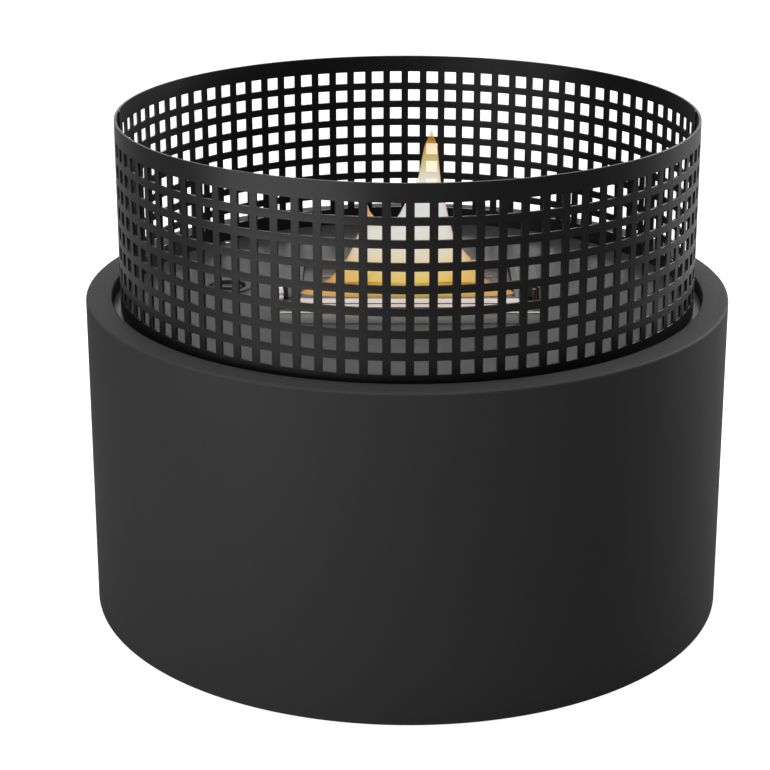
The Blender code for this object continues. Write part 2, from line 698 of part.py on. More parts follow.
def make_burner_rim():
    """An upturned channel of bent sheet round the flame plate."""
    def loop(inset, radius, height):
        outline = rounded_rectangle(RIM_HALF_X - inset, RIM_HALF_Y - inset, radius)
        return outline, height

    top = ON_PLATE + BURNER_RIM_HEIGHT
    inner = BURNER_RIM_WIDTH
    gauge = BURNER_RIM_SHEET
    corner = BURNER_RIM_CORNER
    loops = [loop(0, corner + gauge, ON_PLATE), loop(0, corner + gauge, top),
             loop(inner, corner, top), loop(inner, corner, ON_PLATE),
             loop(inner - gauge, corner + gauge, ON_PLATE),
             loop(inner - gauge, corner + gauge, top - gauge),
             loop(gauge, corner, top - gauge), loop(gauge, corner, ON_PLATE)]
    lofted("burner_rim", loops, stainless("burner_rim"), ring=True)


def make_burner_legs():
    bore = LEG_SCREW[0] + HOLE_CLEARANCE
    low = DECK_TOP + TOUCH
    rise = PLATE_BOTTOM - TOUCH - low
    profile = [(bore, 0), (LEG_RADIUS, 0), (LEG_RADIUS, rise), (bore, rise)]
    leg = turned("burner_leg", profile, zinc("burner_leg"), SMALL_SIDES, ring=True)
    repeat(leg, [(x, y, low) for x, y in leg_places()])
    screws("leg_screw", leg_places(), PLATE_TOP, LEG_SCREW, zinc("leg_screw"))


def make_burner_box():
    """The gas box: a pressed tray whose flange seals under the burner plate."""
    def loop(grow, radius, height):
        outline = rounded_rectangle(OPENING_X + grow, OPENING_Y + grow, radius)
        return outline, height

    gauge = BOX_SHEET
    inner = BOX_CORNER - gauge
    loops = [loop(-gauge, inner, BOX_FLOOR), loop(-gauge, inner, BOX_TOP),
             loop(BOX_FLANGE, BOX_CORNER, BOX_TOP),
             loop(BOX_FLANGE, BOX_CORNER, BOX_TOP - gauge),
             loop(0, BOX_CORNER, BOX_TOP - gauge), loop(0, BOX_CORNER, BOX_BOTTOM)]
    box = lofted("burner_box", loops, stainless("burner_box"))
    deep = BOX_BOTTOM - BOX_DEPTH
    clear = TUBE_RADIUS + HOLE_CLEARANCE
    cut(box, turned("tube_hole_drill", [(clear, deep), (clear, BOX_TOP)],
                    zinc("tube_hole_drill")))
    clear = FLAME_SCREW[0] + HOLE_CLEARANCE
    bm = bmesh.new()
    for place in flame_screw_places():
        add_turned(bm, [(clear, deep), (clear, PLATE_TOP)], SMALL_SIDES, centre=place)
    cut(box, finish("flange_drill", bm, zinc("flange_drill")))


def make_mixing_tube():
    bore = TUBE_RADIUS - TUBE_WALL
    seat = BOX_FLOOR + TOUCH
    tube = turned("mixing_tube",
                  [(bore, TUBE_BOTTOM), (TUBE_RADIUS, TUBE_BOTTOM), (TUBE_RADIUS, seat),
                   (TUBE_FLANGE_RADIUS, seat), (TUBE_FLANGE_RADIUS, TUBE_TOP),
                   (bore, TUBE_TOP)],
                  stainless("mixing_tube"), ring=True)
    height = TUBE_BOTTOM + INJECTOR_GRIP + AIR_PORT_MARGIN + AIR_PORT_RADIUS
    profile = [(AIR_PORT_RADIUS, -2 * TUBE_RADIUS), (AIR_PORT_RADIUS, 2 * TUBE_RADIUS)]
    for name, direction in (("air_port_drill_x", (1, 0, 0)), ("air_port_drill_y", (0, 1, 0))):
        drill = turned(name, profile, zinc(name), SMALL_SIDES)
        cut(tube, aim(drill, (0, 0, height), direction))
    grip = TUBE_RADIUS + TOUCH
    outside = grip + INJECTOR_WALL
    floor = TUBE_BOTTOM - TOUCH
    turned("injector",
           [(STUB_RADIUS, STUB_BOTTOM), (STUB_RADIUS, INJECTOR_BOTTOM),
            (outside, INJECTOR_BOTTOM), (outside, TUBE_BOTTOM + INJECTOR_GRIP),
            (grip, TUBE_BOTTOM + INJECTOR_GRIP), (grip, floor), (NOZZLE_ROOT_RADIUS, floor),
            (NOZZLE_TIP_RADIUS, floor + NOZZLE_HEIGHT)],
           brass("injector"))


def make_probes():
    """The spark electrode at the left end of the rim, the thermocouple at the right."""
    for side, name, radius in ((-1, "igniter_bracket", CERAMIC_RADIUS),
                               (1, "thermocouple_bracket", THERMO_RADIUS)):
        bracket = angle_bracket(name, BRACKET_FOOT, BRACKET_HEIGHT, BRACKET_SHEET,
                                BRACKET_WIDTH, lacquer(name))
        x = side * (RIM_HALF_X + SLIP + BRACKET_WIDTH / 2)
        stand(bracket, (x, PROBE_Y + radius + TOUCH, ON_PLATE), pi / 2)
    top = PLATE_TOP + CERAMIC_ABOVE
    turned("igniter_ceramic", [(CERAMIC_RADIUS, PROBE_BOTTOM), (CERAMIC_RADIUS, top)],
           ceramic("igniter_ceramic"), SMALL_SIDES, centre=(-PROBE_X, PROBE_Y))
    tip = top + TOUCH + WIRE_RISE
    pipe("igniter_wire", [(-PROBE_X, PROBE_Y, top + TOUCH), (-PROBE_X, PROBE_Y, tip),
                          (-PROBE_X + WIRE_REACH, PROBE_Y, tip)],
         WIRE_RADIUS, WIRE_BEND, stainless("igniter_wire"))
    top = PLATE_TOP + THERMO_ABOVE
    turned("thermocouple", [(THERMO_RADIUS, PROBE_BOTTOM), (THERMO_RADIUS, top),
                            (THERMO_TIP_RADIUS, top), (THERMO_TIP_RADIUS, top + THERMO_TIP)],
           copper("thermocouple"), SMALL_SIDES, centre=(PROBE_X, PROBE_Y))


# Gas control

def make_cup():
    outside = CUP_RADIUS + CUP_SHEET
    hole = NECK_RADIUS + HOLE_CLEARANCE
    centre = (CONTROL_X, CONTROL_Y)
    turned("knob_cup",
           [(hole, CUP_BOTTOM), (outside, CUP_BOTTOM), (outside, CUP_TOP - CUP_SHEET),
            (CUP_FLANGE_RADIUS, CUP_TOP - CUP_SHEET), (CUP_FLANGE_RADIUS, CUP_TOP),
            (CUP_RADIUS, CUP_TOP), (CUP_RADIUS, CUP_FLOOR), (hole, CUP_FLOOR)],
           lacquer("knob_cup"), ROUND_SIDES, ring=True, centre=centre)
    nut = circle(NUT_RADIUS, 6, centre)
    sheet("valve_nut", [nut, circle(hole, TUBE_SIDES, centre)], CUP_FLOOR + TOUCH, NUT_HEIGHT,
          brass("valve_nut"))


def make_valve():
    """The valve: a bored block, a cap with the threaded neck, and the magnet unit that
    closes the bore from below."""
    centre = (CONTROL_X, CONTROL_Y)
    block = rounded_rectangle(VALVE_HALF_X, VALVE_HALF_Y, VALVE_CORNER, centre)
    sheet("valve_body", [block, circle(VALVE_BORE_RADIUS, TUBE_SIDES, centre)], VALVE_BOTTOM,
          VALVE_HEIGHT, brass("valve_body"))
    turned("valve_cap", [(STEM_BORE_RADIUS, CAP_BOTTOM), (CAP_RADIUS, CAP_BOTTOM),
                         (CAP_RADIUS, CAP_TOP), (NECK_RADIUS, CAP_TOP),
                         (NECK_RADIUS, NECK_TOP), (STEM_BORE_RADIUS, NECK_TOP)],
           brass("valve_cap"), ring=True, centre=centre)
    top = VALVE_BOTTOM - TOUCH
    shoulder = MAGNET_BOTTOM + MAGNET_TAIL
    turned("magnet_unit",
           [(MAGNET_TAIL_RADIUS, MAGNET_BOTTOM), (MAGNET_TAIL_RADIUS, shoulder),
            (MAGNET_RADIUS, shoulder), (MAGNET_RADIUS, top), (PLUG_TOP_RADIUS, top),
            (PLUG_TOP_RADIUS, VALVE_BOTTOM + MAGNET_NOSE)],
           brass("magnet_unit"), centre=centre)
    turned("piezo_unit",
           [(PIEZO_RADIUS, VALVE_BOTTOM), (PIEZO_RADIUS, VALVE_BOTTOM + PIEZO_LENGTH)],
           plastic("piezo_unit"), centre=(PIEZO_X, CONTROL_Y))


def make_knob():
    """A skirted knob with a raised grip across its face."""
    centre = (CONTROL_X, CONTROL_Y)
    skirt = CUP_FLOOR + PUSH_TRAVEL + PUSH_MARGIN
    hub = NECK_TOP + PUSH_TRAVEL + PUSH_MARGIN
    under = KNOB_FACE - KNOB_CAP
    bore = STEM_RADIUS + TOUCH
    inside = KNOB_RADIUS - KNOB_WALL
    knob = turned("control_knob",
                  [(bore, STEM_TOP + TOUCH), (bore, hub), (KNOB_HUB_RADIUS, hub),
                   (KNOB_HUB_RADIUS, under), (inside, under), (inside, skirt),
                   (KNOB_RADIUS, skirt), (KNOB_RADIUS, KNOB_FACE - KNOB_CHAMFER),
                   (KNOB_RADIUS - KNOB_CHAMFER, KNOB_FACE)],
                  plastic("control_knob"), ROUND_SIDES, centre=centre)
    outline = rounded_rectangle(KNOB_RADIUS - GRIP_END_MARGIN, GRIP_WIDTH / 2, GRIP_CORNER,
                                centre)
    grip = sheet("knob_grip", [outline], KNOB_FACE - GRIP_ROOT, GRIP_ROOT + GRIP_HEIGHT,
                 plastic("knob_grip"))
    cut(knob, grip, "UNION")
    return knob


def make_control():
    """The plug turns in the valve; the stem and knob turn with it and push down."""
    centre = (CONTROL_X, CONTROL_Y)
    socket = STEM_BOTTOM - PUSH_TRAVEL - PUSH_MARGIN
    plug = turned("valve_plug", [(PLUG_BOTTOM_RADIUS, PLUG_TOP - PLUG_HEIGHT),
                                 (PLUG_TOP_RADIUS, PLUG_TOP), (STEM_BORE_RADIUS, PLUG_TOP),
                                 (STEM_BORE_RADIUS, socket)],
                  brass("valve_plug"), centre=centre)
    stem = turned("valve_stem", [(STEM_RADIUS, STEM_BOTTOM), (STEM_RADIUS, STEM_TOP)],
                  stainless("valve_stem"), centre=centre)
    turn = axis_empty("control_turn", (CONTROL_X, CONTROL_Y, PLUG_TOP))
    push = axis_empty("control_push", (CONTROL_X, CONTROL_Y, KNOB_FACE), turn)
    hang([plug], turn)
    hang([stem, make_knob()], push)


# Gas line

def make_gas_line():
    side_port = (CONTROL_X + VALVE_HALF_X + TOUCH, CONTROL_Y, PORT_Z)
    rear_port = (CONTROL_X, CONTROL_Y + VALVE_HALF_Y + TOUCH, PORT_Z)
    stub = (0, 0, STUB_BOTTOM - TOUCH)
    fitting = INLET_BRACKET_SHEET + TOUCH + INLET_COLLAR_LENGTH + INLET_TAIL_LENGTH
    tail = (0, INLET_Y - fitting - TOUCH, INLET_HEIGHT)
    riser = side_port[0] + BURNER_PIPE_RUN
    low = stub[2] - BURNER_PIPE_DROP
    pipe("burner_pipe", [stub, (0, 0, low), (riser, CONTROL_Y, low),
                         (riser, CONTROL_Y, PORT_Z), side_port],
         PIPE_RADIUS, PIPE_BEND, copper("burner_pipe"))
    pipe("supply_pipe", [tail, (0, tail[1] - SUPPLY_PIPE_RUN, INLET_HEIGHT),
                         (CONTROL_X, rear_port[1] + SUPPLY_PIPE_END, PORT_Z), rear_port],
         PIPE_RADIUS, PIPE_BEND, copper("supply_pipe"))
    ends = {"side_port_nut": (side_port, (1, 0, 0)), "rear_port_nut": (rear_port, (0, 1, 0)),
            "injector_nut": (stub, (0, 0, -1)), "inlet_pipe_nut": (tail, (0, -1, 0))}
    outlines = [circle(PIPE_NUT_RADIUS, 6), circle(PIPE_RADIUS + HOLE_CLEARANCE, TUBE_SIDES)]
    for name, (place, direction) in ends.items():
        aim(sheet(name, outlines, 0, PIPE_NUT_LENGTH, brass(name)), place, direction)


def make_leads():
    """The spark lead and the thermocouple lead, both inside the drum."""
    end = PROBE_BOTTOM - TOUCH
    start = VALVE_BOTTOM - TOUCH
    pipe("igniter_lead", [(PIEZO_X, CONTROL_Y, start),
                          (PIEZO_X, CONTROL_Y, start - IGNITER_LEAD_DROP),
                          (-PROBE_X, PROBE_Y, end - IGNITER_LEAD_RISE),
                          (-PROBE_X, PROBE_Y, end)],
         LEAD_RADIUS, LEAD_BEND, rubber("igniter_lead"))
    start = MAGNET_BOTTOM - TOUCH
    pipe("thermocouple_lead", [(CONTROL_X, CONTROL_Y, start),
                               (CONTROL_X, CONTROL_Y, start - THERMO_LEAD_DROP),
                               (PROBE_X, PROBE_Y, end - THERMO_LEAD_RISE),
                               (PROBE_X, PROBE_Y, end)],
         LEAD_RADIUS, LEAD_BEND, copper("thermocouple_lead"))


def make_inlet():
    """The inlet fitting on its bracket, in line with the grommet in the drum's back."""
    low = FLOOR_RING_TOP + TOUCH
    upright = INLET_HEIGHT + INLET_BRACKET_MARGIN - low
    bracket = angle_bracket("inlet_bracket", INLET_BRACKET_FOOT, upright, INLET_BRACKET_SHEET,
                            INLET_BRACKET_WIDTH, zinc("inlet_bracket"))
    stand(bracket, (0, INLET_Y, low), -pi / 2)
    place = (0, INLET_Y, INLET_HEIGHT)
    clear = INLET_THREAD_RADIUS + HOLE_CLEARANCE
    profile = [(clear, -2 * INLET_BRACKET_SHEET), (clear, INLET_BRACKET_SHEET)]
    drill = turned("inlet_drill", profile, zinc("inlet_drill"))
    cut(bracket, aim(drill, place, (0, 1, 0)))
    back = -INLET_BRACKET_SHEET - TOUCH
    collar = back - INLET_COLLAR_LENGTH
    fitting = turned("inlet_fitting",
                     [(INLET_TAIL_RADIUS, collar - INLET_TAIL_LENGTH),
                      (INLET_TAIL_RADIUS, collar), (INLET_COLLAR_RADIUS, collar),
                      (INLET_COLLAR_RADIUS, back), (INLET_THREAD_RADIUS, back),
                      (INLET_THREAD_RADIUS, INLET_THREAD_LENGTH),
                      (INLET_BORE_RADIUS, INLET_THREAD_LENGTH),
                      (INLET_BORE_RADIUS, INLET_THREAD_LENGTH - INLET_BORE_DEPTH)],
                     brass("inlet_fitting"))
    aim(fitting, place, (0, 1, 0))
    outlines = [circle(INLET_COLLAR_RADIUS, 6), circle(clear, TUBE_SIDES)]
    nut = sheet("inlet_nut", outlines, TOUCH, INLET_NUT_HEIGHT, brass("inlet_nut"))
    aim(nut, place, (0, 1, 0))


def make_grommet():
    """A rubber grommet in the hose hole; its flat lips clear the drum's curve."""
    lip = GROMMET_HOLE_RADIUS + GROMMET_LIP
    waist = GROMMET_HOLE_RADIUS - HOLE_CLEARANCE
    flat = SHELL_INNER_RADIUS * cos(pi / BIG_SIDES)
    inner = sqrt(flat ** 2 - lip ** 2) - TOUCH - DRUM_RADIUS
    outer = TOUCH
    grommet = turned("hose_grommet",
                     [(GROMMET_BORE_RADIUS, inner - GROMMET_LIP_HEIGHT),
                      (lip, inner - GROMMET_LIP_HEIGHT), (lip, inner), (waist, inner),
                      (waist, outer), (lip, outer), (lip, outer + GROMMET_LIP_HEIGHT),
                      (GROMMET_BORE_RADIUS, outer + GROMMET_LIP_HEIGHT)],
                     rubber("hose_grommet"), ROUND_SIDES, ring=True)
    aim(grommet, (0, DRUM_RADIUS, INLET_HEIGHT), (0, 1, 0))


def main():
    for old in list(bpy.data.objects):
        bpy.data.objects.remove(old)
    make_shell()
    make_rim()
    make_deck()
    make_floor()
    make_screen()
    make_burner_plates()
    make_burner_rim()
    make_burner_legs()
    make_burner_box()
    make_mixing_tube()
    make_probes()
    make_cup()
    make_valve()
    make_control()
    make_gas_line()
    make_leads()
    make_inlet()
    make_grommet()


main()
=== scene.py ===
"""Studio scene of the round gas fire pit: the detailed pieces that stand for the solids, their
finishes, the flames, the lights and the camera. Sizes are in millimetres until a piece is
finished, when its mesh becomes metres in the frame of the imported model."""

from math import cos, pi, radians, sin, tan

import bmesh
import bpy
from bmesh.types import BMEdge, BMFace, BMVert
from mathutils import Matrix, Vector


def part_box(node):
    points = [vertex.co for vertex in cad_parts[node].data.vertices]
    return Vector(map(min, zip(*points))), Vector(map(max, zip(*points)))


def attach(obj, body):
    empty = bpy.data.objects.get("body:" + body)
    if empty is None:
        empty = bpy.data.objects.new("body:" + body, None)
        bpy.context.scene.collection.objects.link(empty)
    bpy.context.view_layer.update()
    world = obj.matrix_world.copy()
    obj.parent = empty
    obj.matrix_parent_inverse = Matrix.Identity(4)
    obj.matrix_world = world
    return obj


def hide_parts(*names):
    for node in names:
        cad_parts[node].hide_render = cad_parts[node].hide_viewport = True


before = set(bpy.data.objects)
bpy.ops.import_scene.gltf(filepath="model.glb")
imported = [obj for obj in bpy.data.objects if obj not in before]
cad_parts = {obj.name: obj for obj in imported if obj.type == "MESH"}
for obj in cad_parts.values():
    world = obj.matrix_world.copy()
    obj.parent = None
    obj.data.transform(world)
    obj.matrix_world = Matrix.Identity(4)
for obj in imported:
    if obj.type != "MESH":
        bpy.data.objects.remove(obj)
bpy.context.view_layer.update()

MM = 0.001
UP = Vector((0, 0, 1))
SEAT = 0.3                  # air between pieces that rest on each other

# Drum, deck and floor: radii, heights and sheets
DRUM_RADIUS = 350
DRUM_TOP = 352
DRUM_SHEET = 2.5
DRUM_BOTTOM = 2
RING_INNER = 322
RING_SHEET = 3
LIP_SHEET = 2
LEDGE_BOTTOM = 332.5
LEDGE_SHEET = 2
DECK_BOTTOM = 334.8
DECK_TOP = 337.8
FLOOR_BOTTOM = 6
FLOOR_TOP = 8
FOOT_PLACE = 213.9
SCREW_PLACE = 302 * cos(pi / 4)

# Screen
SCREEN_OUTER = 312.8
SCREEN_SHEET = 2.5
SCREEN_BOTTOM = 338.1
SCREEN_TOP = 546.61
SEAM_PLACE = 308.47         # inner face of the strips behind the seams
HOLE = 14
PITCH = 22.33
FIRST_HOLE = 364.2          # height of the lowest row's middle
ROWS = 8
COLUMNS = 88

# Burner: half sizes and places along X and Y, and heights
PLATE_X, PLATE_Y = 145.5, 96
PLATE_TOP = 351
PLATE_SHEET = 1.5
LEG_X, LEG_Y = 132, 82.5
RIM_X, RIM_Y = 128, 81.5
OPENING_X, OPENING_Y = 106.4, 59.9
FLAME_SHEET_X, FLAME_SHEET_Y = 114.4, 67.9
FLAME_SHEET_TOP = 352.5
FLAME_SCREWS = (-110.4, 110.4)
FLAMES_LOW, FLAMES_HIGH = 352, 532      # the heights between which their colours run
PROBE_X, PROBE_Y = 136.5, -52

# Control and gas line
CONTROL = Vector((-201, 38, 0))
SPARK_UNIT_X = -224.3
PORT_HEIGHT = 293.5
INLET = Vector((0, 236, 52))

# Camera, fitted to the rims, walls and hole rows of the photograph, which is cropped low.
# Its place is in metres, its dip below the horizon in radians.
CAMERA_PLACE = (-0.0218, -2.2038, 1.0309)
CAMERA_DIP = 0.3038
CAMERA_LENS = 97.95
CAMERA_SHIFT = (-0.0026, -0.1173)

FLOOR_REACH = 20000         # half a side of the studio floor


# Finishes

def srgb(colour):
    """A hex colour as the linear values that shader sockets take."""
    parts = [int(colour[i:i + 2], 16) / 255 for i in (1, 3, 5)]
    linear = [p / 12.92 if p <= 0.04045 else ((p + 0.055) / 1.055) ** 2.4 for p in parts]
    return (*linear, 1.0)


def feed(tree, made, inputs):
    """Set a node's inputs to values, or link them to sockets."""
    for key, value in inputs.items():
        if isinstance(value, bpy.types.NodeSocket):
            tree.links.new(value, made.inputs[key])
        else:
            made.inputs[key].default_value = value


def node(tree, kind, inputs=None, **settings):
    """Add a shader node with its settings and inputs."""
    made = tree.nodes.new("ShaderNode" + kind)
    for key, value in settings.items():
        setattr(made, key, value)
    feed(tree, made, inputs or {})
    return made


def finish_of(name, base):
    """A material with its tree and its Principled shader, which gets the base values."""
    made = bpy.data.materials.new(name)
    made.use_nodes = True
    tree = made.node_tree
    shader = tree.nodes["Principled BSDF"]
    feed(tree, shader, base)
    return made, tree, shader


def grained(name, colours, roughness, grain, relief, patch=80, stretch=(1, 1, 1), base=None):
    """A finish of two close tones in soft patches, with a fine grain in its roughness and
    relief. grain and patch are sizes in millimetres; stretch squeezes the grain's axes.
    Scratches and grains finer than 0.5 mm are drawn that coarse, so that they show."""
    made, tree, shader = finish_of(name, base or {})
    where = node(tree, "TexCoord").outputs["Object"]
    drift = node(tree, "TexNoise", {"Vector": where, "Scale": 1000 / patch, "Detail": 3.0})
    tone = node(tree, "Mix", {0: drift.outputs["Fac"], 6: srgb(colours[0]), 7: srgb(colours[1])},
                data_type="RGBA")
    turned_grain = node(tree, "Mapping", {"Vector": where, "Scale": stretch})
    fine = node(tree, "TexNoise", {"Vector": turned_grain.outputs[0], "Scale": 1000 / grain,
                                   "Detail": 2.0})
    gloss = node(tree, "MapRange", {"Value": fine.outputs["Fac"], "From Min": 0.3,
                                    "From Max": 0.7, "To Min": roughness[0],
                                    "To Max": roughness[1]})
    bump = node(tree, "Bump", {"Height": fine.outputs["Fac"], "Strength": relief,
                               "Distance": 0.0003})
    feed(tree, shader, {"Base Color": tone.outputs[2], "Roughness": gloss.outputs[0],
                        "Normal": bump.outputs[0]})
    return made


# Polyester powder coat, sprayed and baked: dead matte with a very fine orange-peel skin.
drum_coat = grained("powder_coat_on_steel", ("#222222", "#262626"), (0.58, 0.72), 1.4, 0.10,
                    patch=120, base={"Specular IOR Level": 0.16})
# Heat-resistant silicone paint on smooth sheet: satin, so it mirrors softly.
deck_coat = grained("stove_paint_on_deck", ("#262626", "#2C2C2C"), (0.30, 0.40), 2.5, 0.05,
                    patch=70, base={"Specular IOR Level": 0.40})
# The same stove paint on the punched sheet, with a slight sheen on the round.
screen_coat = grained("stove_paint_on_screen", ("#0A0A0A", "#0D0D0D"), (0.31, 0.39), 1.2, 0.06,
                      patch=60, base={"Specular IOR Level": 0.25})
# Dull dark paint on the two small brackets, greenish where it has been hot.
bracket_coat = grained("dull_paint_on_bracket", ("#20241F", "#2B2F28"), (0.5, 0.7), 0.8, 0.2,
                       patch=8)
# Stainless sheet brushed along X and a little browned by the flames: long fine scratches
# that smear its reflections.
stainless = grained("brushed_stainless", ("#6A6461", "#77706D"), (0.30, 0.42), 0.6, 0.05,
                    patch=60, stretch=(0.02, 1, 1), base={"Metallic": 1.0})
# The burner's shelf: the same steel greyed by heat above; its folded edge below is painted pale,
# a painted reflection of the lit deck in front of it.
shelf_steel_painted_pale_fold = grained("heat_greyed_steel_painted_pale_fold", ("#605E5B", "#6E6C69"), (0.26, 0.36), 0.5,
                           0.03, patch=35, base={"Metallic": 1.0})
# Zinc-plated steel: a cool grey metal, cloudy from its crystals.
zinc = grained("zinc_plated_steel", ("#A3A7AA", "#BFC3C6"), (0.30, 0.48), 0.7, 0.06, patch=5,
               base={"Metallic": 1.0})
# Turned brass: yellow metal that has dulled unevenly.
brass = grained("turned_brass", ("#B08D4B", "#CBA864"), (0.24, 0.40), 0.6, 0.05, patch=9,
                base={"Metallic": 1.0})
# Drawn copper tube, browned by air and hands.
copper = grained("drawn_copper", ("#5E4436", "#735747"), (0.30, 0.46), 0.8, 0.04, patch=18,
                 base={"Metallic": 1.0})
# Moulded rubber: black, dry and slightly dusty.
rubber = grained("moulded_rubber", ("#1A1A1A", "#242322"), (0.72, 0.88), 1.0, 0.12, patch=15)
# Heat-resistant moulded plastic with a fine spark-eroded grain.
plastic = grained("moulded_phenolic", ("#0D0D0D", "#121212"), (0.44, 0.56), 0.5, 0.15, patch=12)
# Glazed steatite, fired white: smooth with faint cream clouds.
ceramic = grained("glazed_steatite", ("#DDD9CF", "#EFECE4"), (0.15, 0.24), 2.0, 0.03, patch=4,
                  base={"Coat Weight": 0.4})


def burning_gas(name):
    """Flames: olive-brown at the roots, gold above them, pale and nearly opaque in the heart,
    gold again and thinner towards the tips, so that what is behind shows through there. The
    outer edges and the small left tip are gold and the skirts orange."""
    made, tree, shader = finish_of(name, {"Base Color": (0, 0, 0, 1), "Roughness": 1.0,
                                          "Specular IOR Level": 0.0})
    where = node(tree, "TexCoord").outputs["Object"]
    place = node(tree, "SeparateXYZ", {0: where})
    height = node(tree, "MapRange", {"Value": place.outputs["Z"], "From Min": FLAMES_LOW * MM,
                                     "From Max": FLAMES_HIGH * MM})
    warm = node(tree, "ValToRGB", {0: height.outputs[0]})
    stops = ((0.0, "#8E7C40"), (0.05, "#A28E4E"), (0.065, "#C6AC5C"), (0.09, "#E4C868"),
             (0.14, "#E3C97E"), (0.24, "#E0D6BC"), (0.38, "#DEDDD6"), (0.52, "#DADADA"),
             (0.68, "#F2EEE0"), (0.80, "#F0DC9C"), (0.88, "#E8BC60"), (0.93, "#C88E2C"),
             (1.0, "#A86C14"))
    for number, (at, colour) in enumerate(stops):
        ramp = warm.color_ramp.elements
        stop = ramp[number] if number < 2 else ramp.new(at)
        stop.position = at
        stop.color = srgb(colour)
    away = node(tree, "Math", {0: place.outputs["X"], 1: 0.004}, operation="SUBTRACT")
    aside = node(tree, "Math", {0: away.outputs[0]}, operation="ABSOLUTE")
    skirt = node(tree, "MapRange", {"Value": aside.outputs[0], "From Min": 0.035,
                                    "From Max": 0.09, "To Max": 0.75})
    low = node(tree, "MapRange", {"Value": height.outputs[0], "From Min": 0.10,
                                  "From Max": 0.32, "To Min": 1.0, "To Max": 0.2})
    amber = node(tree, "Math", {0: skirt.outputs[0], 1: low.outputs[0]}, operation="MULTIPLY")
    skirted = node(tree, "Mix", {0: amber.outputs[0], 6: warm.outputs[0],
                                 7: srgb("#DBA262")}, data_type="RGBA")
    left = node(tree, "MapRange", {"Value": place.outputs["X"], "From Min": -0.022,
                                   "From Max": -0.034})
    high = node(tree, "MapRange", {"Value": place.outputs["Z"], "From Min": 0.420,
                                   "From Max": 0.438, "To Max": 0.85})
    small_tip = node(tree, "Math", {0: left.outputs[0], 1: high.outputs[0]},
                     operation="MULTIPLY")
    tone = node(tree, "Mix", {0: small_tip.outputs[0], 6: skirted.outputs[2],
                              7: srgb("#D49A3C")}, data_type="RGBA")
    edge = node(tree, "LayerWeight", {"Blend": 0.5})
    rim = node(tree, "Math", {0: edge.outputs["Facing"], 1: 1.7}, operation="POWER")
    glow = node(tree, "Mix", {0: rim.outputs[0], 6: tone.outputs[2], 7: srgb("#B4761C")},
                data_type="RGBA")
    lick = node(tree, "TexNoise", {"Vector": where, "Scale": 22.0, "Detail": 2.0})
    body = node(tree, "MapRange", {"Value": height.outputs[0], "From Min": 0.50,
                                   "From Max": 0.80, "To Min": 1.0, "To Max": 0.45})
    wisp = node(tree, "MapRange", {"Value": lick.outputs["Fac"], "From Min": 0.3,
                                   "From Max": 0.7, "To Min": 0.92, "To Max": 1.0})
    alpha = node(tree, "Math", {0: body.outputs[0], 1: wisp.outputs[0]}, operation="MULTIPLY")
    feed(tree, shader, {"Emission Color": glow.outputs[2], "Emission Strength": 1.0,
                        "Alpha": alpha.outputs[0]})
    return made


def paint_pale_reflection_below(made, level, colour, roughness):
    """Paint a heat-greyed metal pale and satin below a level, fading in over the 3 mm under it:
    a painted reflection of the lit deck on a folded edge."""
    tree = made.node_tree
    shader = tree.nodes["Principled BSDF"]
    place = node(tree, "SeparateXYZ", {0: node(tree, "TexCoord").outputs["Object"]})
    fade = node(tree, "MapRange", {"Value": place.outputs["Z"], "From Min": (level - 3) * MM,
                                   "From Max": level * MM})
    grey = shader.inputs["Base Color"].links[0].from_socket
    dull = shader.inputs["Roughness"].links[0].from_socket
    tone = node(tree, "Mix", {0: fade.outputs[0], 6: srgb(colour), 7: grey}, data_type="RGBA")
    gloss = node(tree, "Mix", {0: fade.outputs[0], 2: roughness, 3: dull})
    feed(tree, shader, {"Base Color": tone.outputs[2], "Roughness": gloss.outputs[0]})


# The shelf's folded edge is painted pale below its top: a painted reflection of the lit deck.
paint_pale_reflection_below(shelf_steel_painted_pale_fold, PLATE_TOP - 0.5, "#F0EEEA", 0.46)
flame_glow = burning_gas("burning_gas")


# Shapes

def soften(corners, radius, steps=4, closed=True):
    """Corners rounded by arcs. radius is one number, or one for each corner."""
    corners = [Vector(c) for c in corners]
    count = len(corners)
    radii = radius if isinstance(radius, (list, tuple)) else [radius] * count
    points = []
    for i, corner in enumerate(corners):
        if radii[i] == 0 or (not closed and i in (0, count - 1)):
            points.append(corner)
            continue
        back = (corners[i - 1] - corner).normalized()
        ahead = (corners[(i + 1) % count] - corner).normalized()
        half = back.angle(ahead) / 2
        centre = corner + (back + ahead).normalized() * radii[i] / sin(half)
        start = (corner + back * radii[i] / tan(half) - centre).normalized()
        end = (corner + ahead * radii[i] / tan(half) - centre).normalized()
        points += [centre + radii[i] * start.slerp(end, s / steps) for s in range(steps + 1)]
    return points


def section(corners, radius=0.4, steps=3, closed=True):
    """Softened upright corners, given as (radius, height) or (inset, height)."""
    return soften([(r, 0, z) for r, z in corners], radius, steps, closed)


def rectangle(half_x, half_y, corner, centre=(0, 0), steps=5):
    """A flat rectangle with rounded corners."""
    signs = ((1, 1), (-1, 1), (-1, -1), (1, -1))
    return soften([(centre[0] + sx * half_x, centre[1] + sy * half_y, 0) for sx, sy in signs],
                  corner, steps)


def placed(place, direction=UP):
    """The matrix that stands a piece made round +Z at a place, pointing along direction."""
    aim = Vector(direction).to_track_quat("Z", "Y").to_matrix().to_4x4()
    return Matrix.Translation(place) @ aim


def four_ways(x, y):
    """A place and its mirror places on both sides of both axes."""
    return [(sx * x, sy * y) for sx in (1, -1) for sy in (1, -1)]


def only(kind, geometry):
    """The vertices, edges or faces among the geometry that an operator gives."""
    return [g for g in geometry if isinstance(g, kind)]


def add_line(bm, points, closed=True):
    """Vertices and the edges between them, as two lists."""
    verts = [bm.verts.new(p) for p in points]
    pairs = list(zip(verts, verts[1:]))
    if closed:
        pairs.append((verts[-1], verts[0]))
    return verts, [bm.edges.new(pair) for pair in pairs]


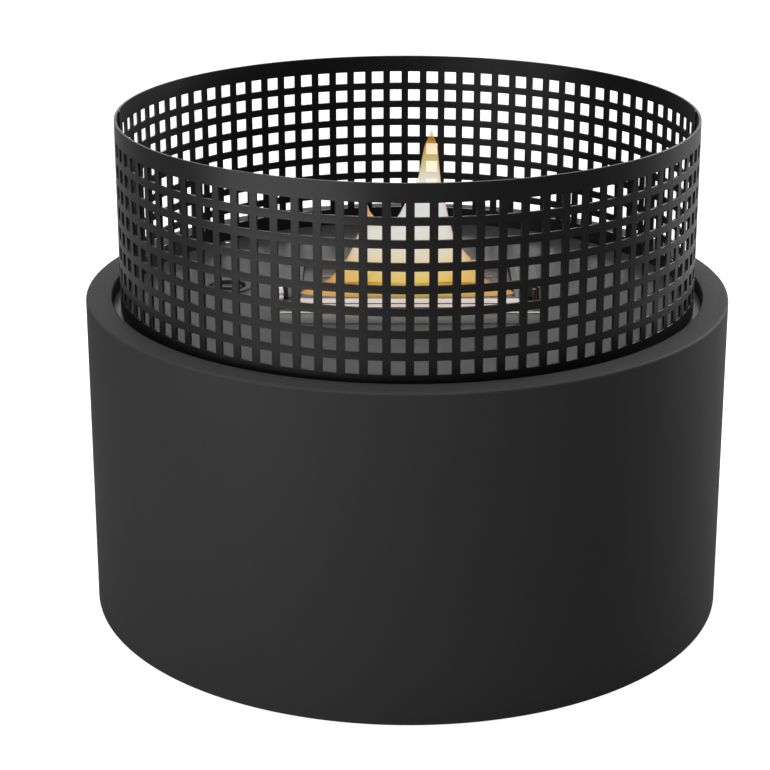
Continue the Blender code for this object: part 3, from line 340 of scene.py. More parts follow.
def spun(profile, steps=64, closed=True, matrix=None):
    """A profile spun round +Z. An open profile starts and ends on the axis."""
    bm = bmesh.new()
    verts, edges = add_line(bm, profile, closed)
    bmesh.ops.spin(bm, geom=verts + edges, cent=(0, 0, 0), axis=(0, 0, 1), dvec=(0, 0, 0),
                   angle=2 * pi, steps=steps, use_merge=True)
    bmesh.ops.remove_doubles(bm, verts=bm.verts, dist=0.0005)
    if matrix:
        bmesh.ops.transform(bm, matrix=matrix, verts=bm.verts)
    return bm


def framed(outline, profile, closed=True):
    """A section swept round a four-cornered outline. In the section x is the inset from the
    outline and z the height; an open one is closed by its first and last rim."""
    bm = bmesh.new()
    route = [(point.x, point.z) for point in profile]
    inset, height = route[0]
    verts, edges = add_line(bm, outline)
    bmesh.ops.translate(bm, verts=verts, vec=(0, 0, height))
    first_rim = edges
    for next_inset, next_height in route[1:] + (route[:1] if closed else []):
        swept = bmesh.ops.extrude_edge_only(bm, edges=edges)["geom"]
        moved = set(only(BMVert, swept))
        step = next_inset - inset
        for sx, sy in four_ways(1, 1):
            quarter = [v for v in moved if v.co.x * sx > 0 and v.co.y * sy > 0]
            bmesh.ops.translate(bm, verts=quarter,
                                vec=(-sx * step, -sy * step, next_height - height))
        edges = [e for e in only(BMEdge, swept) if moved.issuperset(e.verts)]
        inset, height = next_inset, next_height
    if closed:
        bmesh.ops.remove_doubles(bm, verts=bm.verts, dist=0.0005)
    else:
        for rim in (first_rim, edges):
            bmesh.ops.triangle_fill(bm, edges=rim, use_beauty=True)
    return bm


def mesh_object(name, bm, sharp=40):
    """The bmesh as a linked object in metres, faces out, smooth up to the sharp angle."""
    bmesh.ops.recalc_face_normals(bm, faces=bm.faces)
    bmesh.ops.scale(bm, vec=(MM, MM, MM), verts=bm.verts)
    mesh = bpy.data.meshes.new(name)
    bm.to_mesh(mesh)
    bm.free()
    mesh.shade_smooth()
    mesh.set_sharp_from_angle(angle=radians(sharp))
    made = bpy.data.objects.new(name, mesh)
    bpy.context.scene.collection.objects.link(made)
    return made


def flat_object(name, outlines, bottom, thickness, edge=0.2, matrix=None):
    """A flat sheet with softened upper edges. An outline is a list of corners, or
    (radius, x, y, sides) for a circle; the first is the sheet's edge, the rest are holes."""
    bm = bmesh.new()
    edges = []
    for outline in outlines:
        if isinstance(outline, tuple):
            radius, x, y, sides = outline
            made = bmesh.ops.create_circle(bm, segments=sides, radius=radius,
                                           matrix=Matrix.Translation((x, y, 0)))
            edges += dict.fromkeys(e for v in made["verts"] for e in v.link_edges)
        else:
            edges += add_line(bm, outline)[1]
    filled = bmesh.ops.triangle_fill(bm, edges=edges, use_beauty=True, normal=UP)
    faces = only(BMFace, filled["geom"])
    for face in faces:
        if face.normal.z < 0:
            face.normal_flip()
    grown = bmesh.ops.extrude_face_region(bm, geom=faces, use_keep_orig=True)["geom"]
    bmesh.ops.translate(bm, verts=only(BMVert, grown), vec=(0, 0, thickness - edge))
    bmesh.ops.inset_region(bm, faces=only(BMFace, grown), thickness=edge, depth=edge,
                           use_boundary=True, use_even_offset=True)
    bmesh.ops.translate(bm, verts=bm.verts, vec=(0, 0, bottom))
    if matrix:
        bmesh.ops.transform(bm, matrix=matrix, verts=bm.verts)
    return mesh_object(name, bm)


def angle_object(name, foot, upright, sheet, width, fold, tip, steps, matrix):
    """A strip of sheet folded to a right angle, its foot along +X and its upright along +Z,
    with rounded tips."""
    bm = bmesh.new()
    outline = section([(0, 0), (foot, 0), (foot, sheet), (sheet, sheet), (sheet, upright),
                       (0, upright)], [fold, 0, 0, 0.6, 0, 0], 4)
    face = bm.faces.new(add_line(bm, outline)[0])
    grown = bmesh.ops.extrude_face_region(bm, geom=[face], use_keep_orig=True)["geom"]
    bmesh.ops.translate(bm, verts=only(BMVert, grown), vec=(0, width, 0))
    tips = [e for e in bm.edges if abs(e.calc_length() - sheet) < 0.01
            and (min(v.co.z for v in e.verts) > upright - 0.1
                 or min(v.co.x for v in e.verts) > foot - 0.1)]
    bmesh.ops.bevel(bm, geom=tips, offset=tip, segments=steps, profile=0.5, affect="EDGES",
                    material=-1)
    bmesh.ops.translate(bm, verts=bm.verts, vec=(0, -width / 2, 0))
    bmesh.ops.transform(bm, matrix=matrix, verts=bm.verts)
    return mesh_object(name, bm)


def rod(radius, low, high, place=(0, 0, 0), direction=UP):
    """A plain round rod, to cut a hole with."""
    profile = [(0, 0, low), (radius, 0, low), (radius, 0, high), (0, 0, high)]
    return mesh_object("rod", spun(profile, 48, False, placed(place, direction)))


def carve(made, tools, operation="DIFFERENCE", sharp=40):
    """Cut the tools out of a piece, or join them to it, for good."""
    for tool in tools:
        boolean = made.modifiers.new(tool.name, "BOOLEAN")
        boolean.object = tool
        boolean.operation = operation
        boolean.solver = "EXACT"
    shown = made.evaluated_get(bpy.context.evaluated_depsgraph_get())
    mesh = bpy.data.meshes.new_from_object(shown)
    made.modifiers.clear()
    made.data = mesh
    for tool in tools:
        bpy.data.objects.remove(tool)
    mesh.shade_smooth()
    mesh.set_sharp_from_angle(angle=radians(sharp))
    return made


def coat(made, material):
    """Give a piece its one material."""
    made.data.materials.clear()
    made.data.materials.append(material)


def dress(made, material, body, nodes):
    """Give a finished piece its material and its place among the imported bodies."""
    coat(made, material)
    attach(made, body)
    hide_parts(*nodes)


def turned(name, profile, material, nodes, steps=64, closed=True, matrix=None, sharp=40):
    """A piece of the base that is turned from one profile."""
    made = mesh_object(name, spun(profile, steps, closed, matrix), sharp)
    dress(made, material, "base", nodes)


def plate(name, outlines, bottom, thickness, material, nodes, edge=0.2, matrix=None):
    """A piece of the base that is cut from flat sheet or bar."""
    made = flat_object(name, outlines, bottom, thickness, edge, matrix)
    dress(made, material, "base", nodes)


def tube(name, corners, radius, bend, material, nodes):
    """A tube or lead of the base along rounded corners."""
    curve = bpy.data.curves.new(name, "CURVE")
    curve.dimensions = "3D"
    curve.bevel_depth = radius
    curve.bevel_resolution = 5
    curve.use_fill_caps = True
    points = soften(corners, bend, 8, closed=False)
    spline = curve.splines.new("POLY")
    spline.points.add(len(points) - 1)
    for knot, point in zip(spline.points, points):
        knot.co = (*point, 1.0)
    guide = bpy.data.objects.new(name + "_route", curve)
    bpy.context.scene.collection.objects.link(guide)
    shown = guide.evaluated_get(bpy.context.evaluated_depsgraph_get())
    mesh = bpy.data.meshes.new_from_object(shown)
    bpy.data.objects.remove(guide)
    bm = bmesh.new()
    bm.from_mesh(mesh)
    bmesh.ops.remove_doubles(bm, verts=bm.verts, dist=0.01)
    dress(mesh_object(name, bm), material, "base", nodes)


# Drum

def make_drum():
    """The rolled wall and the flat top ring, welded and ground into one rounded edge; the
    ring turns down round the deck."""
    corners = [(DRUM_RADIUS - DRUM_SHEET, DRUM_BOTTOM), (DRUM_RADIUS, DRUM_BOTTOM),
               (DRUM_RADIUS, DRUM_TOP), (RING_INNER, DRUM_TOP), (RING_INNER, LEDGE_BOTTOM),
               (RING_INNER + LIP_SHEET, LEDGE_BOTTOM),
               (RING_INNER + LIP_SHEET, DRUM_TOP - RING_SHEET),
               (DRUM_RADIUS - DRUM_SHEET, DRUM_TOP - RING_SHEET)]
    radii = [1.0, 1.0, 3.0, 2.0, 0.7, 0.7, 0.8, 1.5]
    drum = mesh_object("drum", spun(section(corners, radii, 5), 192))
    carve(drum, [rod(14, -12, 12, (0, DRUM_RADIUS, INLET.z), (0, 1, 0))])
    dress(drum, drum_coat, "base", ["base_shell", "rim_ring"])


SCREW_PLACES = four_ways(SCREW_PLACE, SCREW_PLACE)
LEG_PLACES = four_ways(LEG_X, LEG_Y)


def make_deck():
    """The deck, open for the burner and the control, and the ledge that carries it."""
    screws = [(3.1, x, y, 20) for x, y in SCREW_PLACES]
    holes = screws + [(3.1, x, y, 20) for x, y in LEG_PLACES]
    holes += [(6, sx * PROBE_X, PROBE_Y, 28) for sx in (-1, 1)]
    holes += [rectangle(OPENING_X + 12, OPENING_Y + 12, 8), (22.8, CONTROL.x, CONTROL.y, 72)]
    plate("deck", [(RING_INNER - 0.6, 0, 0, 192)] + holes, DECK_BOTTOM, DECK_TOP - DECK_BOTTOM,
          deck_coat, ["deck_plate"], edge=0.4)
    plate("ledge", [(RING_INNER - SEAT, 0, 0, 160), (294, 0, 0, 160)] + screws, LEDGE_BOTTOM,
          LEDGE_SHEET, drum_coat, ["deck_ledge"])


def make_floor_ring():
    """The flange that closes the drum's foot, open in the middle, and its ribbed feet."""
    plate("floor_flange", [(347.2, 0, 0, 160), (157.5, 0, 0, 120)], FLOOR_BOTTOM,
          FLOOR_TOP - FLOOR_BOTTOM, drum_coat, ["floor_ring"])
    foot = section([(0, 0), (4, 0), (4, 0.8), (6, 0.8), (6, 0), (10, 0), (10, 0.8), (12, 0.8),
                    (12, 0), (16, 0), (16, 5.7), (0, 5.7)],
                   [0, 0.2, 0.1, 0.1, 0.2, 0.2, 0.1, 0.1, 0.2, 0.9, 0.6, 0], closed=False)
    places = {"foot_1": (1, 1), "foot_2": (-1, 1), "foot_3": (-1, -1), "foot_4": (1, -1)}
    for name, (sx, sy) in places.items():
        turned("rubber_" + name, foot, rubber, [name], 48, False,
               placed((sx * FOOT_PLACE, sy * FOOT_PLACE, 0)))


# Screws

def screw_object(shank, length, head, height):
    """A pan-headed screw with a cross recess, standing on z = 0."""
    profile = section([(0, -length), (shank * 0.7, -length), (shank, -length + shank * 0.6),
                       (shank, 0), (head, 0), (head, height), (0, height)],
                      [0, 0, 0.2, 0.2, 0.25, height * 0.62, 0], 5, closed=False)
    screw = mesh_object("screw", spun(profile, 40, False))
    blade = rectangle(head * 0.52, head * 0.09, 0)
    blades = [flat_object("blade", [blade], height * 0.45, height, 0.02,
                          Matrix.Rotation(turn, 4, "Z")) for turn in (0, pi / 2)]
    return carve(screw, blades, sharp=30)


def take_nearest(waiting, x, y):
    """Take the CAD node that stands nearest to a place off a list of names."""
    def distance(name):
        low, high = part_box(name)
        middle = (low + high) / 2
        return (middle.x - x * MM) ** 2 + (middle.y - y * MM) ** 2

    nearest = min(waiting, key=distance)
    waiting.remove(nearest)
    return nearest


def make_screws():
    """Three sizes of screw, each turned a little differently, as a hand leaves them."""
    flame_places = [(x, 0) for x in FLAME_SCREWS]
    sizes = {"deck_screw": ((2.5, 12, 4.5, 2.2), SCREW_PLACES, DECK_TOP + SEAT),
             "leg_screw": ((2.5, 22, 4.5, 2.2), LEG_PLACES, PLATE_TOP + SEAT),
             "flame_screw": ((1.5, 8, 2.8, 1.5), flame_places, FLAME_SHEET_TOP + SEAT)}
    for name, (size, places, seat) in sizes.items():
        pattern = screw_object(*size)
        waiting = [f"{name}_{number}" for number in range(1, len(places) + 1)]
        for number, (x, y) in enumerate(places):
            made = bpy.data.objects.new(f"{name}_head_{number + 1}", pattern.data.copy())
            bpy.context.scene.collection.objects.link(made)
            turn = Matrix.Rotation(0.7 * number + 0.3, 4, "Z")
            made.data.transform(Matrix.Translation((x * MM, y * MM, seat * MM)) @ turn)
            dress(made, zinc, "base", [take_nearest(waiting, x, y)])
        bpy.data.objects.remove(pattern)


# Perforated screen

def make_screen():
    """One hole and its share of the sheet, repeated up a column and round the ring; the
    outer skin is then drawn in to make the inner one and the walls of the holes."""
    bm = bmesh.new()
    width = 2 * pi * SCREEN_OUTER / COLUMNS
    cell = rectangle(width / 2, PITCH / 2, 0)
    hole = rectangle(HOLE / 2, HOLE / 2, 0.4, steps=2)
    edges = add_line(bm, cell)[1] + add_line(bm, hole)[1]
    bmesh.ops.triangle_fill(bm, edges=edges, use_beauty=True)
    bmesh.ops.translate(bm, verts=bm.verts, vec=(0, FIRST_HOLE, 0))
    first = list(bm.verts) + list(bm.edges) + list(bm.faces)
    for row in range(1, ROWS):
        copied = bmesh.ops.duplicate(bm, geom=first)["geom"]
        bmesh.ops.translate(bm, verts=only(BMVert, copied), vec=(0, row * PITCH, 0))
    bmesh.ops.remove_doubles(bm, verts=bm.verts, dist=0.001)
    low = FIRST_HOLE - PITCH / 2
    high = FIRST_HOLE + (ROWS - 0.5) * PITCH
    for start, end in ((low, SCREEN_BOTTOM), (high, SCREEN_TOP)):
        rim = [e for e in bm.edges if all(abs(v.co.y - start) < 0.01 for v in e.verts)]
        swept = bmesh.ops.extrude_edge_only(bm, edges=rim)["geom"]
        bmesh.ops.translate(bm, verts=only(BMVert, swept), vec=(0, end - start, 0))
    for vert in bm.verts:
        angle = (vert.co.x + width / 2) / SCREEN_OUTER
        vert.co = (SCREEN_OUTER * cos(angle), SCREEN_OUTER * sin(angle), vert.co.y)
    column = list(bm.verts) + list(bm.edges) + list(bm.faces)
    bmesh.ops.spin(bm, geom=column, cent=(0, 0, 0), axis=(0, 0, 1), dvec=(0, 0, 0),
                   angle=2 * pi * (COLUMNS - 1) / COLUMNS, steps=COLUMNS - 1,
                   use_duplicate=True)
    bmesh.ops.remove_doubles(bm, verts=bm.verts, dist=0.01)
    grown = bmesh.ops.extrude_face_region(bm, geom=list(bm.faces), use_keep_orig=True)["geom"]
    inward = (SCREEN_OUTER - SCREEN_SHEET) / SCREEN_OUTER
    bmesh.ops.scale(bm, vec=(inward, inward, 1), verts=only(BMVert, grown))
    bmesh.ops.recalc_face_normals(bm, faces=bm.faces)
    cut_edges = [e for e in bm.edges if e.is_manifold and e.calc_face_angle() > 1.2]
    bmesh.ops.bevel(bm, geom=cut_edges, offset=0.2, offset_type="OFFSET", segments=1,
                    profile=0.5, affect="EDGES", material=-1)
    dress(mesh_object("screen", bm, 30), screen_coat, "screen",
          ["screen_front", "screen_rear"])
    strip = rectangle((SCREEN_TOP - SCREEN_BOTTOM) / 2, 3.5, 0.8,
                      ((SCREEN_TOP + SCREEN_BOTTOM) / 2, 0), 2)
    for side, name in ((-1, "left"), (1, "right")):
        upright = Matrix(((0, 0, side, 0), (0, 1, 0, 0), (1, 0, 0, 0), (0, 0, 0, 1)))
        made = flat_object("seam_strip_" + name, [strip], 0, 1.5,
                           matrix=Matrix.Translation((side * SEAM_PLACE, 0, 0)) @ upright)
        dress(made, screen_coat, "screen", ["screen_seam_" + name])


# Burner

def make_burner_plate():
    """The shelf round the opening, and its edge, which is folded down to the deck."""
    fold = [(0, DECK_TOP + SEAT), (0, PLATE_TOP), (4, PLATE_TOP), (4, PLATE_TOP - PLATE_SHEET),
            (PLATE_SHEET, PLATE_TOP - PLATE_SHEET), (PLATE_SHEET, DECK_TOP + SEAT)]
    folded_edge = mesh_object("folded_edge", framed(
        rectangle(PLATE_X, PLATE_Y, 6), section(fold, [0.3, 1.8, 0, 0, 0.5, 0.3], 4)))
    holes = [(4.1, -PROBE_X, PROBE_Y, 28), (3.1, PROBE_X, PROBE_Y, 28)]
    holes += [(2.1, x, 0, 20) for x in FLAME_SCREWS] + [(3.1, x, y, 20) for x, y in LEG_PLACES]
    shelf = flat_object("burner_shelf", [rectangle(PLATE_X - 3, PLATE_Y - 3, 5),
                                         rectangle(OPENING_X, OPENING_Y, 8)] + holes,
                        PLATE_TOP - PLATE_SHEET, PLATE_SHEET, 0.25)
    carve(shelf, [folded_edge], "UNION", 30)
    dress(shelf, shelf_steel_painted_pale_fold, "base", ["burner_plate"])


def make_flame_sheet():
    """The slotted sheet that the flames stand on, and the bevelled channel round it."""
    screws = [(2.1, x, 0, 20) for x in FLAME_SCREWS]
    slots = [rectangle(9, 2, 1.9, ((column - 3.5) * 25, (row - 0.5) * 54), 4)
             for column in range(8) for row in range(2)]
    plate("flame_sheet", [rectangle(FLAME_SHEET_X, FLAME_SHEET_Y, 4)] + screws + slots,
          PLATE_TOP + SEAT, 1.2, stainless, ["flame_plate"], edge=0.25)
    channel = [(0, 351.3), (0, 351.7), (2.6, 354.3), (2.6, 355.3), (6.6, 359.3), (13, 359.3),
               (13, 351.3), (11.8, 351.3), (11.8, 358), (7.3, 358), (4, 354.4), (1.8, 352.1),
               (1.8, 351.3)]
    rounds = [0.1, 0.1, 0.1, 0.1, 1.2, 1.6, 0.2, 0.2, 0.4, 0.4, 0.3, 0.3, 0.2]
    made = mesh_object("burner_channel", framed(rectangle(RIM_X, RIM_Y, 5.2, steps=6),
                                                section(channel, rounds, 4)))
    dress(made, stainless, "base", ["burner_rim"])


def make_gas_tray():
    """The tray that spreads the gas under the sheet, and the spacers that carry the shelf."""
    profile = [(1.2, 332.4), (1.2, 349.2), (-9, 349.2), (-9, 348), (0, 348), (0, 331.2)]
    tray = mesh_object("gas_tray", framed(rectangle(OPENING_X, OPENING_Y, 8, steps=6),
                                          section(profile, [0, 1.4, 0.2, 0.2, 0.5, 0],
                                                  closed=False), closed=False))
    carve(tray, [rod(12.1, 325, 340)] + [rod(2.1, 340, 352, (x, 0, 0)) for x in FLAME_SCREWS])
    dress(tray, stainless, "base", ["burner_box"])
    spacer = section([(3.1, 338.1), (6, 338.1), (6, 349.2), (3.1, 349.2)], 0.5)
    waiting = [f"burner_leg_{number}" for number in range(1, 5)]
    for number, (x, y) in enumerate(LEG_PLACES, 1):
        turned(f"spacer_{number}", spacer, zinc, [take_nearest(waiting, x, y)], 40,
               matrix=placed((x, y, 0)))


def make_mixer():
    """The pipe in which gas and air mix, with four air holes, and the jet holder under it."""
    profile = section([(10.3, 288.2), (11.5, 288.2), (11.5, 332.7), (16, 332.7), (16, 334.2),
                       (10.3, 334.2)], [0.3, 0.3, 1.0, 0.3, 0.3, 1.0])
    pipe = mesh_object("mixer_pipe", spun(profile, 56))
    carve(pipe, [rod(4, -30, 30, (0, 0, 305.2), way) for way in ((1, 0, 0), (0, 1, 0))])
    dress(pipe, stainless, "base", ["mixing_tube"])
    turned("jet_holder", section([(0, 274.9), (7, 274.9), (7, 284.9), (14, 284.9),
                                  (14, 299.2), (11.8, 299.2), (11.8, 287.9), (5, 287.9),
                                  (2.5, 294.9), (0, 294.9)],
                                 [0, 0.4, 0.5, 0.9, 0.5, 0.5, 0.4, 0.4, 0.4, 0],
                                 closed=False), brass, ["injector"], 56, False)


def make_probes():
    """The spark electrode at the left, the thermocouple at the right, and their brackets."""
    for side, name, reach in ((-1, "igniter", 3.8), (1, "thermocouple", 2.8)):
        place = (side * (RIM_X + 7.6), PROBE_Y + reach, PLATE_TOP + SEAT)
        holder = angle_object(name + "_holder", foot=18, upright=13, sheet=1.2, width=14,
                              fold=1.8, tip=2.5, steps=4,
                              matrix=Matrix.Translation(place) @ Matrix.Rotation(pi / 2, 4, "Z"))
        dress(holder, bracket_coat, "base", [name + "_bracket"])
    at = placed((-PROBE_X, PROBE_Y, 0))
    turned("insulator", section([(0, 330), (3.1, 330), (3.1, 352), (3.5, 352.6), (3.5, 354.6),
                                 (3.1, 355.2), (3.1, 357.4), (3.5, 358), (3.5, 360),
                                 (3.1, 360.6), (2.6, 365), (0, 365)],
                                [0, 0.5, 0.1, 0.2, 0.2, 0.1, 0.1, 0.2, 0.2, 0.1, 0.8, 0],
                                closed=False),
           ceramic, ["igniter_ceramic"], 32, False, at)
    tube("spark_wire", [(-PROBE_X, PROBE_Y, 364.9), (-PROBE_X, PROBE_Y, 369.8),
                        (-PROBE_X + 17, PROBE_Y, 369.8)], 0.9, 2.5, stainless,
         ["igniter_wire"])
    turned("thermocouple_rod", section([(0, 330), (2.5, 330), (2.5, 363), (1.6, 363.6),
                                        (1.6, 368), (0, 368)], [0, 0.4, 0.3, 0.2, 1.2, 0],
                                       closed=False),
           copper, ["thermocouple"], 32, False, placed((PROBE_X, PROBE_Y, 0)))


# Gas control

def make_knob():
    """A round knob with a finely fluted skirt and a raised grip across its face."""
    bm = spun(section([(0, 333.9), (3.3, 333.9), (3.3, 327), (5.5, 327), (5.5, 332.3),
                       (16, 332.3), (16, 323.7), (18.5, 323.7), (18.5, 335.3), (0, 335.3)],
                      [0, 0.2, 0.3, 0.3, 0.5, 0.5, 0.3, 0.3, 1.1, 0], 4, closed=False),
              144, False)
    for vert in bm.verts:
        radius = vert.co.xy.length
        if radius > 17.6 and vert.co.z < 333.9:
            dip = 0.35 * (1 - cos(36 * Vector((1, 0)).angle_signed(vert.co.xy, 0.0))) / 2
            vert.co.xy *= (radius - dip) / radius
    bmesh.ops.translate(bm, verts=bm.verts, vec=CONTROL)
    knob = mesh_object("knob", bm, 45)
    grip = flat_object("grip", [rectangle(16.5, 4, 3.4, steps=8)], 334.7, 4.2, 0.7,
                       Matrix.Translation(CONTROL))
    carve(knob, [grip], "UNION", 45)
    groove = flat_object("pointer_groove", [rectangle(5.5, 0.6, 0.5, steps=4)], 338.4, 3, 0.1,
                         Matrix.Translation(CONTROL + Vector((-9.5, 0, 0))))
    carve(knob, [groove], sharp=45)
    dress(knob, plastic, "knob", ["control_knob"])


def make_control():
    """The cup round the knob, and the valve with its magnet can and spark unit under it."""
    at = placed(CONTROL)
    turned("cup", section([(8.6, 318.1), (22.2, 318.1), (22.2, 338.1), (28, 338.1),
                           (28, 339.3), (21, 339.3), (21, 319.3), (8.6, 319.3)],
                          [0.3, 2.0, 0.5, 0.4, 0.4, 1.2, 0.8, 0.3], 5),
           deck_coat, ["knob_cup"], 96, matrix=at)
    plate("cup_nut", [(11.5, CONTROL.x, CONTROL.y, 6), (8.6, CONTROL.x, CONTROL.y, 40)], 319.6,
          3, brass, ["valve_nut"], edge=0.4)
    turned("valve_bonnet", section([(3.4, 312.8), (15, 312.8), (15, 317.8), (8, 317.8),
                                    (8, 322.6), (3.4, 322.6)], [0.2, 0.6, 0.8, 0.3, 0.6, 0.3]),
           brass, ["valve_cap"], 64, matrix=at)
    plate("valve_block", [rectangle(17, 20, 4, (CONTROL.x, CONTROL.y)),
                          (7.5, CONTROL.x, CONTROL.y, 48)], 279.5, 33, brass,
          ["valve_body"], edge=0.6)
    turned("magnet_can", section([(0, 264.2), (4, 264.2), (4, 269.2), (8.5, 269.2),
                                  (8.5, 279.2), (7, 279.2), (7, 285.5), (0, 285.5)],
                                 [0, 0.5, 0.3, 0.9, 0.6, 0.2, 0.6, 0], closed=False),
           brass, ["magnet_unit"], 48, False, at)
    turned("spark_unit", section([(0, 279.5), (6, 279.5), (6, 309.5), (0, 309.5)],
                                 [0, 0.8, 1.2, 0], closed=False),
           plastic, ["piezo_unit"], 48, False,
           placed((SPARK_UNIT_X, CONTROL.y, 0)))


# Gas line

def make_gas_line():
    """The pipes from the inlet to the valve and on to the burner, their union nuts, and the
    leads of the electrode and the thermocouple."""
    side_port = Vector((-183.7, CONTROL.y, PORT_HEIGHT))
    rear_port = Vector((CONTROL.x, 58.3, PORT_HEIGHT))
    stub = Vector((0, 0, 274.6))
    tail = Vector((0, 213.4, INLET.z))
    tube("burner_feed", [stub, (0, 0, 248.6), (-159.7, CONTROL.y, 248.6),
                         (-159.7, CONTROL.y, PORT_HEIGHT), side_port],
         4, 12, copper, ["burner_pipe"])
    tube("supply_feed", [tail, (0, 185.4, INLET.z), (CONTROL.x, 120.3, PORT_HEIGHT),
                         rear_port], 4, 12, copper, ["supply_pipe"])
    nuts = {"side_port_nut": (side_port, (1, 0, 0)), "rear_port_nut": (rear_port, (0, 1, 0)),
            "injector_nut": (stub, (0, 0, -1)), "inlet_pipe_nut": (tail, (0, -1, 0))}
    for name, (place, direction) in nuts.items():
        plate(name.replace("_nut", "_union"), [(7.5, 0, 0, 6), (4.6, 0, 0, 40)], 0, 8, brass,
              [name], edge=0.8, matrix=placed(place, direction))
    tube("spark_lead", [(SPARK_UNIT_X, CONTROL.y, 279.2), (SPARK_UNIT_X, CONTROL.y, 262.2),
                        (-PROBE_X, PROBE_Y, 284.7), (-PROBE_X, PROBE_Y, 329.7)],
         1.5, 10, rubber, ["igniter_lead"])
    tube("thermocouple_tube", [(CONTROL.x, CONTROL.y, 263.9), (CONTROL.x, CONTROL.y, 243.9),
                               (PROBE_X, PROBE_Y, 274.7), (PROBE_X, PROBE_Y, 329.7)],
         1.5, 10, copper, ["thermocouple_lead"])


def make_inlet():
    """The threaded inlet with its locknut, held by a zinc-plated angle on the floor flange."""
    place = (0, INLET.y, FLOOR_TOP + SEAT)
    bracket = angle_object("inlet_angle", foot=24, upright=59.7, sheet=2, width=34, fold=2.5,
                           tip=4, steps=5,
                           matrix=Matrix.Translation(place) @ Matrix.Rotation(-pi / 2, 4, "Z"))
    carve(bracket, [rod(7.1, -6, 6, INLET, (0, 1, 0))])
    dress(bracket, zinc, "base", ["inlet_bracket"])
    profile = [(0, -22.3), (5.5, -22.3), (5.5, -11.3), (11, -11.3), (11, -2.3), (6.5, -2.3)]
    for turn in range(8):
        profile += [(6.5, 7.4 + turn), (6.0, 7.9 + turn)]
    profile += [(6.5, 15.4), (6.0, 16), (3, 16), (3, 6), (0, 6)]
    along = placed(INLET, (0, 1, 0))
    turned("inlet_union", [(r, 0, z) for r, z in profile], brass, ["inlet_fitting"],
           56, False, along, sharp=30)
    plate("inlet_locknut", [(11, 0, 0, 6), (7.1, 0, 0, 40)], SEAT, 5, brass,
          ["inlet_nut"], edge=0.6, matrix=along)


def make_grommet():
    """The rubber grommet in the drum's back, through which a hose goes in."""
    low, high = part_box("hose_grommet")
    inner = low.y / MM - DRUM_RADIUS
    outer = high.y / MM - DRUM_RADIUS
    turned("grommet", section([(8, inner), (17, inner), (17, inner + 2), (13.4, inner + 2),
                               (13.4, outer - 2), (17, outer - 2), (17, outer), (8, outer)],
                              [0.7, 0.8, 0.6, 0.4, 0.4, 0.6, 0.9, 0.9], 4),
           rubber, ["hose_grommet"], 72,
           matrix=placed((0, DRUM_RADIUS, INLET.z), (0, 1, 0)))


# Flames

def tongue_object(y, depth, stations):
    """A tongue of flame through (height, middle, half width) stations, the tip last; depth
    is how much of its width it has from front to back."""
    heights = [height for height, middle, half in stations]
    profile = [(0, 0, heights[0])] + [(half, 0, height) for height, middle, half in stations]
    bm = spun(profile, 40, False)
    for vert in bm.verts:
        number = min(range(len(heights)), key=lambda n: abs(heights[n] - vert.co.z))
        vert.co = (vert.co.x + stations[number][1], vert.co.y * depth + y, vert.co.z)
    return mesh_object("flames", bm)


def make_flames():
    """Tongues of burning gas that stand over the slots and run together into one body."""
    root = FLAME_SHEET_TOP + 0.6
    tongues = (
        (-16, 0.42, [(root, 0, 103), (360, 0, 89), (365.5, 0, 80), (387, 8, 61), (398, 9, 50),
                     (411.8, 11.2, 39.3), (427.3, 15.7, 30.7), (436.5, 17.8, 26.2),
                     (450.9, 20, 21), (474.4, 23.6, 12.3), (511.5, 25.2, 7), (530, 26, 0)]),
        (-20, 0.5, [(root, -52, 50), (360.5, -46, 43), (365.5, -43, 40),
                    (373, -39.5, 37), (386, -34, 32), (402.4, -34.3, 23.7),
                    (416.8, -35.3, 17.3), (428, -40.2, 9.3), (441, -44, 3.4),
                    (455.7, -45.4, 0)]),
        (-22, 0.5, [(root, 50, 50), (359, 45, 41), (366, 43, 37), (374, 44, 32),
                    (384, 44, 27), (393, 44, 16), (400, 44, 0)]),
        (-56, 0.17, [(359.9, 0, 115), (362.5, 0, 110), (366.2, 0, 101), (368.4, 0, 88),
                     (369.8, 0, 0)]))
    flames, *others = [tongue_object(*tongue) for tongue in tongues]
    carve(flames, others, "UNION", 180)
    coat(flames, flame_glow)
    flames.visible_diffuse = False
    flames.visible_glossy = False
    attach(flames, "base")


# Studio

def make_world():
    """A world that is white behind the object and lights it only dimly."""
    world = bpy.data.worlds.new("studio")
    bpy.context.scene.world = world
    world.use_nodes = True
    tree = world.node_tree
    path = node(tree, "LightPath")
    seen = node(tree, "Math", {0: path.outputs["Is Camera Ray"],
                               1: path.outputs["Is Transmission Ray"]}, operation="MAXIMUM")
    level = node(tree, "MapRange", {"Value": seen.outputs[0], "To Min": 0.20, "To Max": 1.0})
    feed(tree, tree.nodes["Background"], {"Color": srgb("#FFFFFF"),
                                          "Strength": level.outputs[0]})


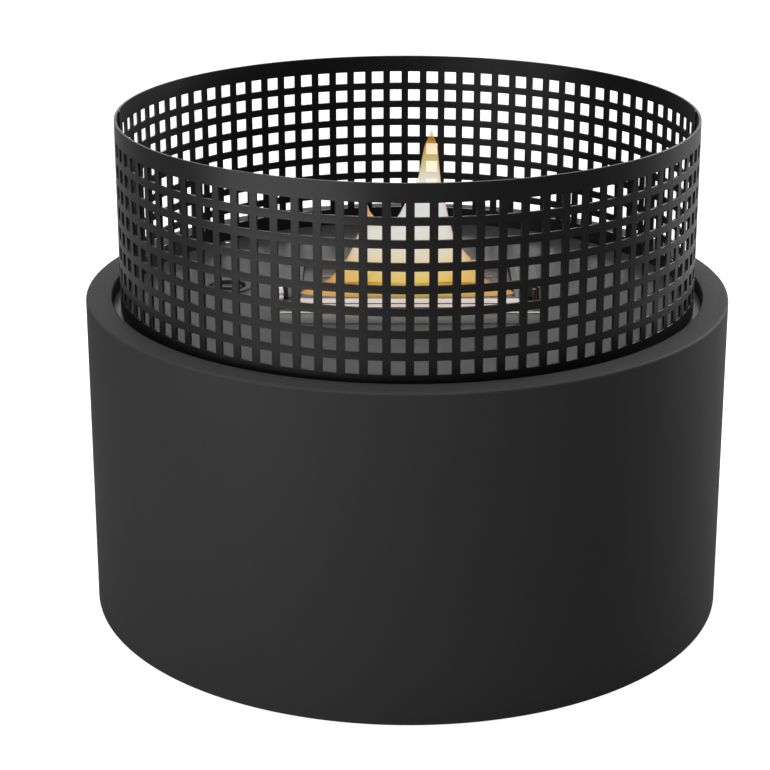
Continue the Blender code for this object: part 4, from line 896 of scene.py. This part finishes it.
def make_lamps():
    """Soft boxes round the object. Sizes and places are in metres, powers in watts."""
    lamps = (  # name, place, size, power, aim
        ("left_softbox", (-2.2, -1.6, 1.6), (1.0, 1.6), 27, (0, 0, 0.35)),
        ("low_left_strip", (-1.75, -1.75, 0.29), (2.6, 0.5), 29, (0, 0, 0.29)),
        ("right_back_softbox", (2.3, 1.4, 1.3), (0.9, 1.6), 64, (0, 0, 0.35)),
        ("top_softbox", (0.0, 0.0, 2.8), (3.2, 3.2), 160, (0, 0, 0.3)),
        ("low_backdrop", (0.05, 3.0, 0.72), (3.4, 1.3), 30, (0, 0, 0.72)),
        ("low_front_card", (-0.4, -3.2, 0.72), (3.4, 1.3), 12, (0, 0, 0.72)))
    for name, place, size, power, aim in lamps:
        lamp = bpy.data.lights.new(name, "AREA")
        lamp.shape = "RECTANGLE"
        lamp.size, lamp.size_y = size
        lamp.energy = power
        made = bpy.data.objects.new(name, lamp)
        made.location = place
        made.visible_camera = False
        made.rotation_euler = (Vector(aim) - Vector(place)).to_track_quat("-Z", "Y").to_euler()
        bpy.context.scene.collection.objects.link(made)


def make_floor():
    """Studio paper: grey where it lights the object, lifted to white for the camera, so that
    only the object's shadow shows on it."""
    paper, tree, shader = finish_of("studio_paper", {
        "Base Color": srgb("#8C8C8C"), "Roughness": 0.95, "Specular IOR Level": 0.0,
        "Emission Color": srgb("#FFFFFF")})
    path = node(tree, "LightPath")
    lift = node(tree, "Math", {0: path.outputs["Is Camera Ray"], 1: 0.92},
                operation="MULTIPLY")
    feed(tree, shader, {"Emission Strength": lift.outputs[0]})
    bm = bmesh.new()
    bmesh.ops.create_grid(bm, x_segments=1, y_segments=1, size=FLOOR_REACH)
    floor = mesh_object("studio_floor", bm)
    coat(floor, paper)


def make_camera():
    """The camera at the photograph's place, with its frame shifted as the photograph's is."""
    lens = bpy.data.cameras.new("camera")
    lens.lens = CAMERA_LENS
    lens.sensor_width = 36
    lens.clip_end = 50
    lens.shift_x, lens.shift_y = CAMERA_SHIFT
    camera = bpy.data.objects.new("camera", lens)
    camera.location = CAMERA_PLACE
    camera.rotation_euler = (pi / 2 - CAMERA_DIP, 0, 0)
    bpy.context.scene.collection.objects.link(camera)
    bpy.context.scene.camera = camera


def dress_kept_nodes():
    """The two pieces inside the valve keep their solids and get a real finish."""
    for name, material in (("valve_plug", brass), ("valve_stem", stainless)):
        coat(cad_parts[name], material)


make_drum()
make_deck()
make_floor_ring()
make_screws()
make_screen()
make_burner_plate()
make_flame_sheet()
make_gas_tray()
make_mixer()
make_probes()
make_knob()
make_control()
make_gas_line()
make_inlet()
make_grommet()
make_flames()
dress_kept_nodes()
make_world()
make_lamps()
make_floor()
make_camera()
bpy.context.scene.view_settings.view_transform = "Standard"
